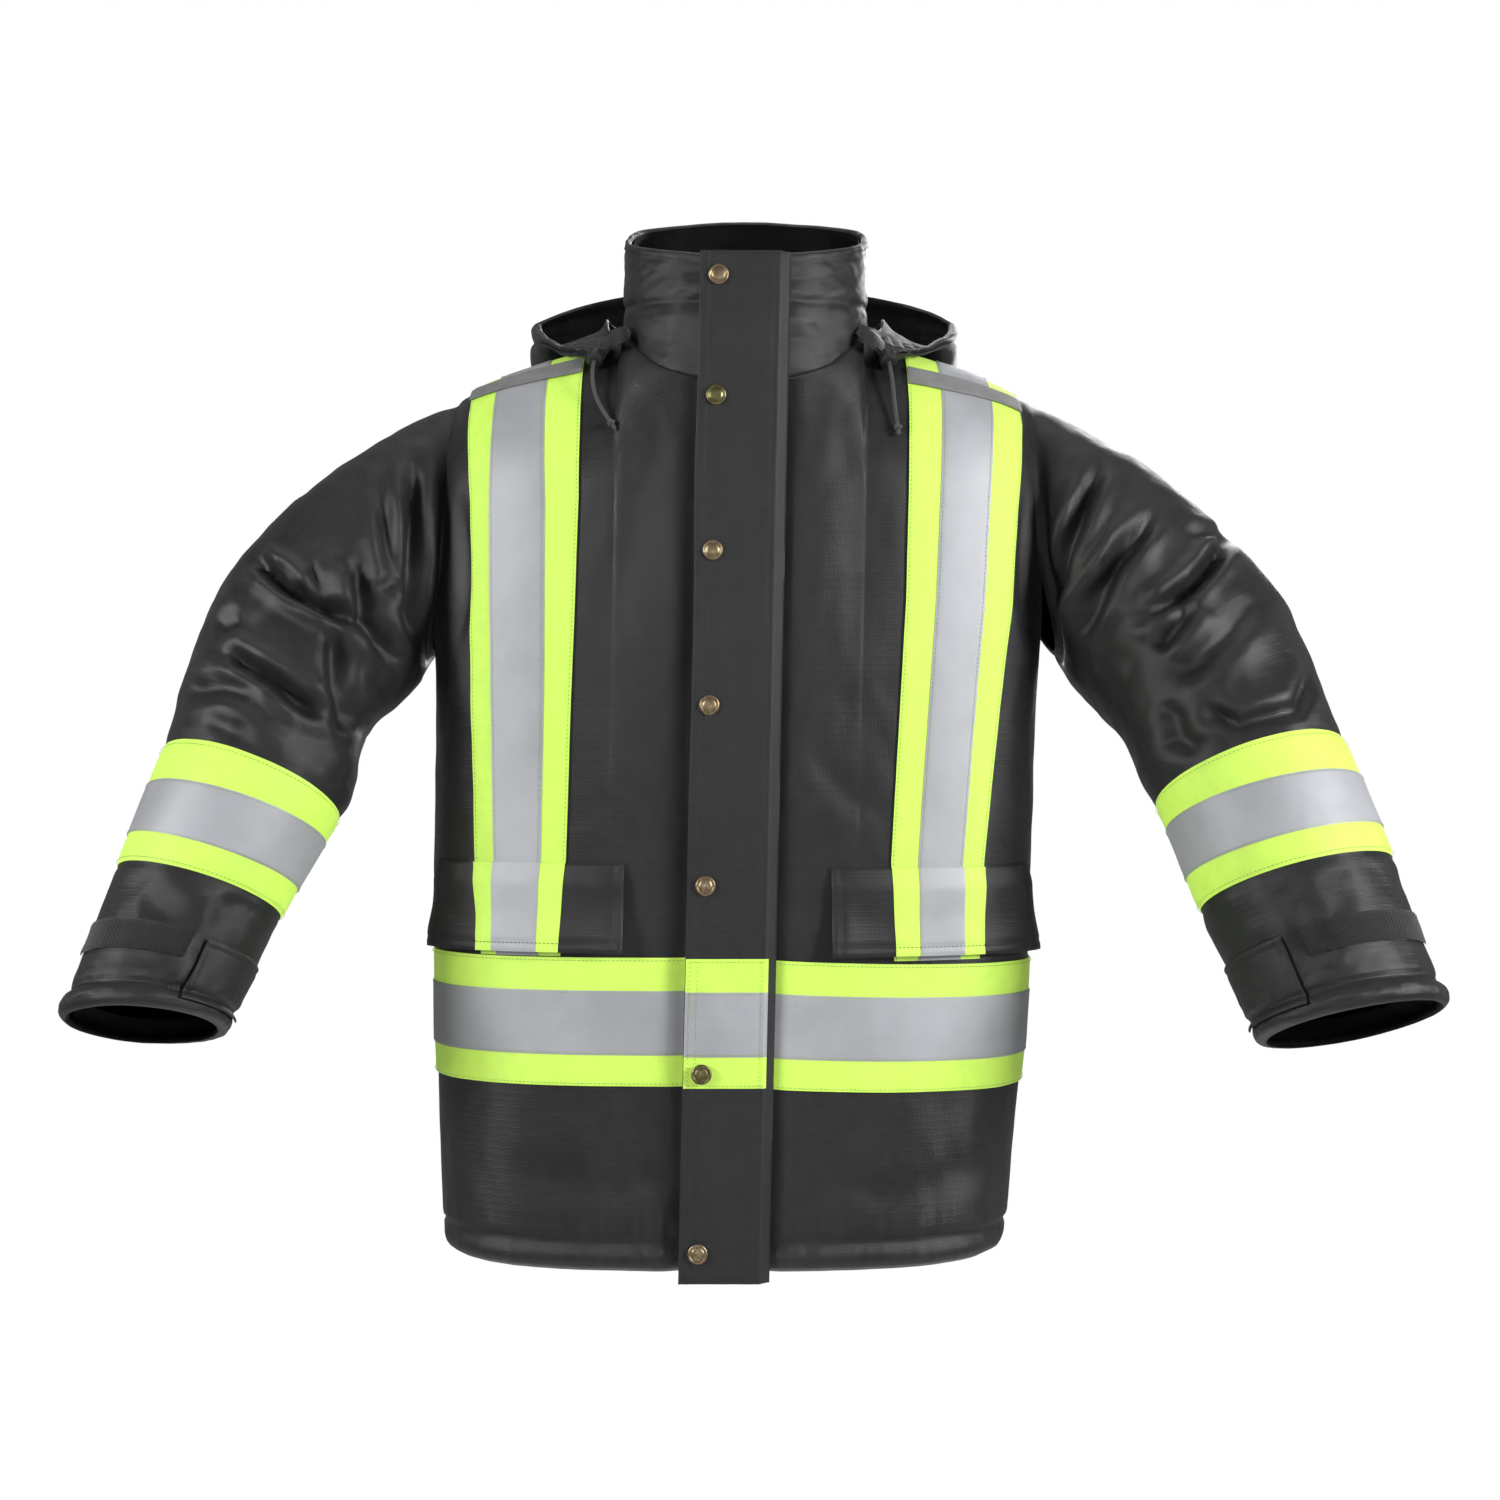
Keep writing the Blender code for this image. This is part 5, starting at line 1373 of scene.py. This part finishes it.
def hood_surface(alpha, share):
    back = (np.maximum(0.0, np.cos(alpha)) ** 1.1)[..., None]
    at = share * (len(HOOD_BACK) - 1)
    row = (1 - back) * rounded_profile(HOOD_SIDE, at) + back * rounded_profile(HOOD_BACK, at)
    radius, z = row[..., 0], row[..., 1]
    bend = math.radians(72)
    excess = np.maximum(0.0, np.abs(alpha) - bend) / (HOOD_REACH - bend)
    radius = 0.112 + (radius - 0.112) * (1 - HOOD_SHRINK * excess)
    z = z - 0.018 * smooth(np.abs(alpha), math.radians(86), math.radians(110))
    x, y = centre_x(z) + radius * np.sin(alpha), NECK_CENTRE_Y + radius * np.cos(alpha)
    points = np.stack([x, y, z], axis=-1)
    lowest = shoulder_height(points) + 0.0075
    settle = smooth(np.abs(alpha), math.radians(94), HOOD_REACH - HOOD_END / 2)
    z = z + (np.minimum(z, lowest + 0.004) - z) * settle
    points[..., 2] = np.maximum(z, lowest)
    return points


def build_hood():
    alpha, share = np.meshgrid(np.linspace(-HOOD_REACH, HOOD_REACH, 220), np.linspace(0, 1, 90))
    points = hood_surface(alpha, share)
    mouth = (points[:1] + points[-1:]) / 2
    normals = grid_normals(points, np.broadcast_to(mouth, points.shape))
    rise = 0.0030 * noise_at(points, 16.0, 4.0) + 0.0014 * noise_at(points, (45, 45, 30), 8.0)
    rise = rise * smooth(share, 0.0, 0.12)
    rise += 0.0030 * bell(share - 0.955, 0.030) - 0.0022 * bell(share - 0.900, 0.012)
    ending = smooth(np.abs(alpha), HOOD_REACH - HOOD_END, HOOD_REACH)
    rise = rise * (1 - ending)
    thick = (0.0030 + 0.0030 * smooth(share, 0.90, 0.94)) * (1 - 0.55 * ending)
    roll = rounded_edge(1 - share, 0.02, 0.05)
    points = points + normals * rise[..., None]
    middle = -thick / 2
    made = layer("hood_cloth", points, normals, middle + thick * roll / 2, thick * roll, MATS["shell"], rise)
    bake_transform(made)
    place(made, None, "shell_fabric", ["hood_shell"])


def build_cords():
    for side in SIDES:
        route = np.array(CORD_ROUTE[side])
        curve = bpy.data.curves.new(f"{side}_draw_cord_braid", "CURVE")
        curve.dimensions = "3D"
        curve.bevel_depth = CORD_RADIUS
        curve.bevel_resolution = 5
        curve.use_fill_caps = True
        spline = curve.splines.new("POLY")
        spline.points.add(len(route) - 1)
        for point, where in zip(spline.points, route):
            point.co = (*where, 1.0)
        curve.materials.append(MATS["cord"])
        cord = bpy.data.objects.new(f"{side}_draw_cord_braid", curve)
        bpy.context.scene.collection.objects.link(cord)
        place(cord, "root", "cord", [f"{side}_draw_cord"])
        lock = build_lock(side)
        tip = build_cord_end(side, route)


def build_lock(side):
    """A barrel toggle that grips the cord, with grip ribs."""
    route = np.array(CORD_ROUTE[side])
    start = route[0] + (route[1] - route[0]) * 0.3
    axis = unit(route[2] - route[0])
    length = 0.0100
    profile = [(0.0026, 0.0), (0.0056, 0.0), (0.0066, 0.0008)]
    for k in range(5):
        at = 0.0016 + k * 0.0016
        profile += [(0.0071, at), (0.0071, at + 0.0008), (0.0065, at + 0.0010), (0.0065, at + 0.0014)]
    profile += [(0.0066, length - 0.0008), (0.0056, length), (0.0026, length)]
    made = gathered(f"{side}_cord_toggle", [lathe(profile, start, axis, 36)], MATS["plastic"])
    return place(made, f"{side}_cord_lock", "lock_plastic", [f"{side}_cord_lock"])


def build_cord_end(side, route):
    """The knot near the cord's end, with its short frayed tail."""
    tail = unit(route[-1] - route[-2])
    helper = unit(np.cross(tail, (0.0, 1.0, 0.0)))
    other = np.cross(tail, helper)
    centre = route[-1]
    ring, faces = [], []
    turns, sides = 40, 10
    for k in range(turns):
        a = TURN * k / turns
        radial = math.cos(2 * a) * helper + math.sin(2 * a) * other
        middle = centre + radial * (0.0017 + 0.0007 * math.cos(3 * a)) + tail * 0.0011 * math.sin(3 * a)
        for m in range(sides):
            b = TURN * m / sides
            ring.append(middle + 0.0013 * (math.cos(b) * radial + math.sin(b) * tail))
    for k in range(turns):
        n = (k + 1) % turns
        for m in range(sides):
            p = (m + 1) % sides
            faces.append([k * sides + m, n * sides + m, n * sides + p, k * sides + p])
    profile = ((0.0004, -0.001), (0.0015, 0.0), (0.0016, 0.003), (0.0018, 0.0055), (0.0012, 0.0062))
    parts = [(np.array(ring), faces), lathe(profile, centre, tail, 14)]
    made = gathered(f"{side}_cord_knot", parts, MATS["cord"])
    return place(made, "root", "cord")


def build_seam_stitches():
    quarter = math.pi / 2
    spans = ((-quarter + 0.01, -FRONT_START), (FRONT_START, quarter - 0.01),
             (quarter + 0.01, 3 * quarter - 0.01))
    rows = [body_seam(np.linspace(*span, 160), np.full(160, HEM_SEAM_Z), 0.0003) for span in spans]
    sew("hem_stitches", rows, "root")


# ------------------------------------------------------------ camera, stage
def pale_floor(reach):
    """Pale paint that fades out before the floor's edge."""
    pale = new_material("pale_floor", 0.9, 0.0, 0.1)
    shader_of(pale).inputs["Base Color"].default_value = (0.97, 0.97, 0.97, 1.0)
    place = add(pale, "ShaderNodeTexCoord").outputs["Object"]
    away = add(pale, "ShaderNodeVectorMath", operation="LENGTH")
    level = add(pale, "ShaderNodeVectorMath", operation="MULTIPLY")
    level.inputs[1].default_value = (1.0, 1.0, 0.0)
    link(pale, place, level.inputs[0])
    link(pale, level.outputs[0], away.inputs[0])
    fade = ranged(pale, away.outputs["Value"], 0.3 * reach, 0.95 * reach, 1.0, 0.0)
    link(pale, fade, shader_of(pale).inputs["Alpha"])
    return pale


def build_stage():
    camera = bpy.data.objects.new("camera", bpy.data.cameras.new("camera"))
    camera.data.lens = CAMERA_LENS
    camera.data.sensor_width = 36.0
    camera.location = CAMERA_PLACE
    camera.rotation_euler = (math.radians(90), 0.0, 0.0)
    bpy.context.scene.collection.objects.link(camera)
    bpy.context.scene.camera = camera
    world = bpy.data.worlds.new("studio")
    bpy.context.scene.world = world
    world.use_nodes = True
    sky = world.node_tree.nodes["Background"]
    sky.inputs[0].default_value = (1.0, 1.0, 1.0, 1.0)
    path = world.node_tree.nodes.new("ShaderNodeLightPath")
    strength = world.node_tree.nodes.new("ShaderNodeMapRange")
    strength.inputs["To Min"].default_value = AMBIENT
    strength.inputs["To Max"].default_value = 1.0
    world.node_tree.links.new(path.outputs["Is Camera Ray"], strength.inputs[0])
    world.node_tree.links.new(strength.outputs[0], sky.inputs[1])
    floor_mesh = bpy.data.meshes.new("floor")
    corners = ((-1, -1), (1, -1), (1, 1), (-1, 1))
    vertices = [(x * FLOOR_REACH, y * FLOOR_REACH, FLOOR_Z) for x, y in corners]
    floor_mesh.from_pydata(vertices, [], [(0, 1, 2, 3)])
    floor = bpy.data.objects.new("floor", floor_mesh)
    bpy.context.scene.collection.objects.link(floor)
    floor_mesh.materials.append(pale_floor(FLOOR_REACH))
    for name, where, size, power in (
        ("key", (2.35, -1.45, 0.35), 0.7, 88.0),
        ("fill", (-2.35, -1.45, 0.35), 0.7, 60.0),
        ("front", (0.0, -3.4, -0.5), 1.4, 14.0),
        ("top", (0.0, 0.3, 2.4), 1.6, 14.0),
        ("rim", (0.6, 2.4, 0.6), 1.5, 46.0),
    ):
        data = bpy.data.lights.new(name, "AREA")
        data.size = size
        data.energy = power
        lamp = bpy.data.objects.new(name, data)
        lamp.location = where
        aim = LAMP_AIM - Vector(where)
        lamp.rotation_euler = aim.to_track_quat("-Z", "Y").to_euler()
        bpy.context.scene.collection.objects.link(lamp)
    bpy.context.scene.view_settings.view_transform = "Standard"


build_stage()
build_cords()
build_body()
build_waist_tape()
build_front_stripes()
build_back_cross()
build_shoulder_strips()
build_storm_flap()
build_snaps()
build_zipper()
build_pocket_flaps()
build_sleeves()
build_collar()
build_inside()
build_hood()
build_seam_stitches()
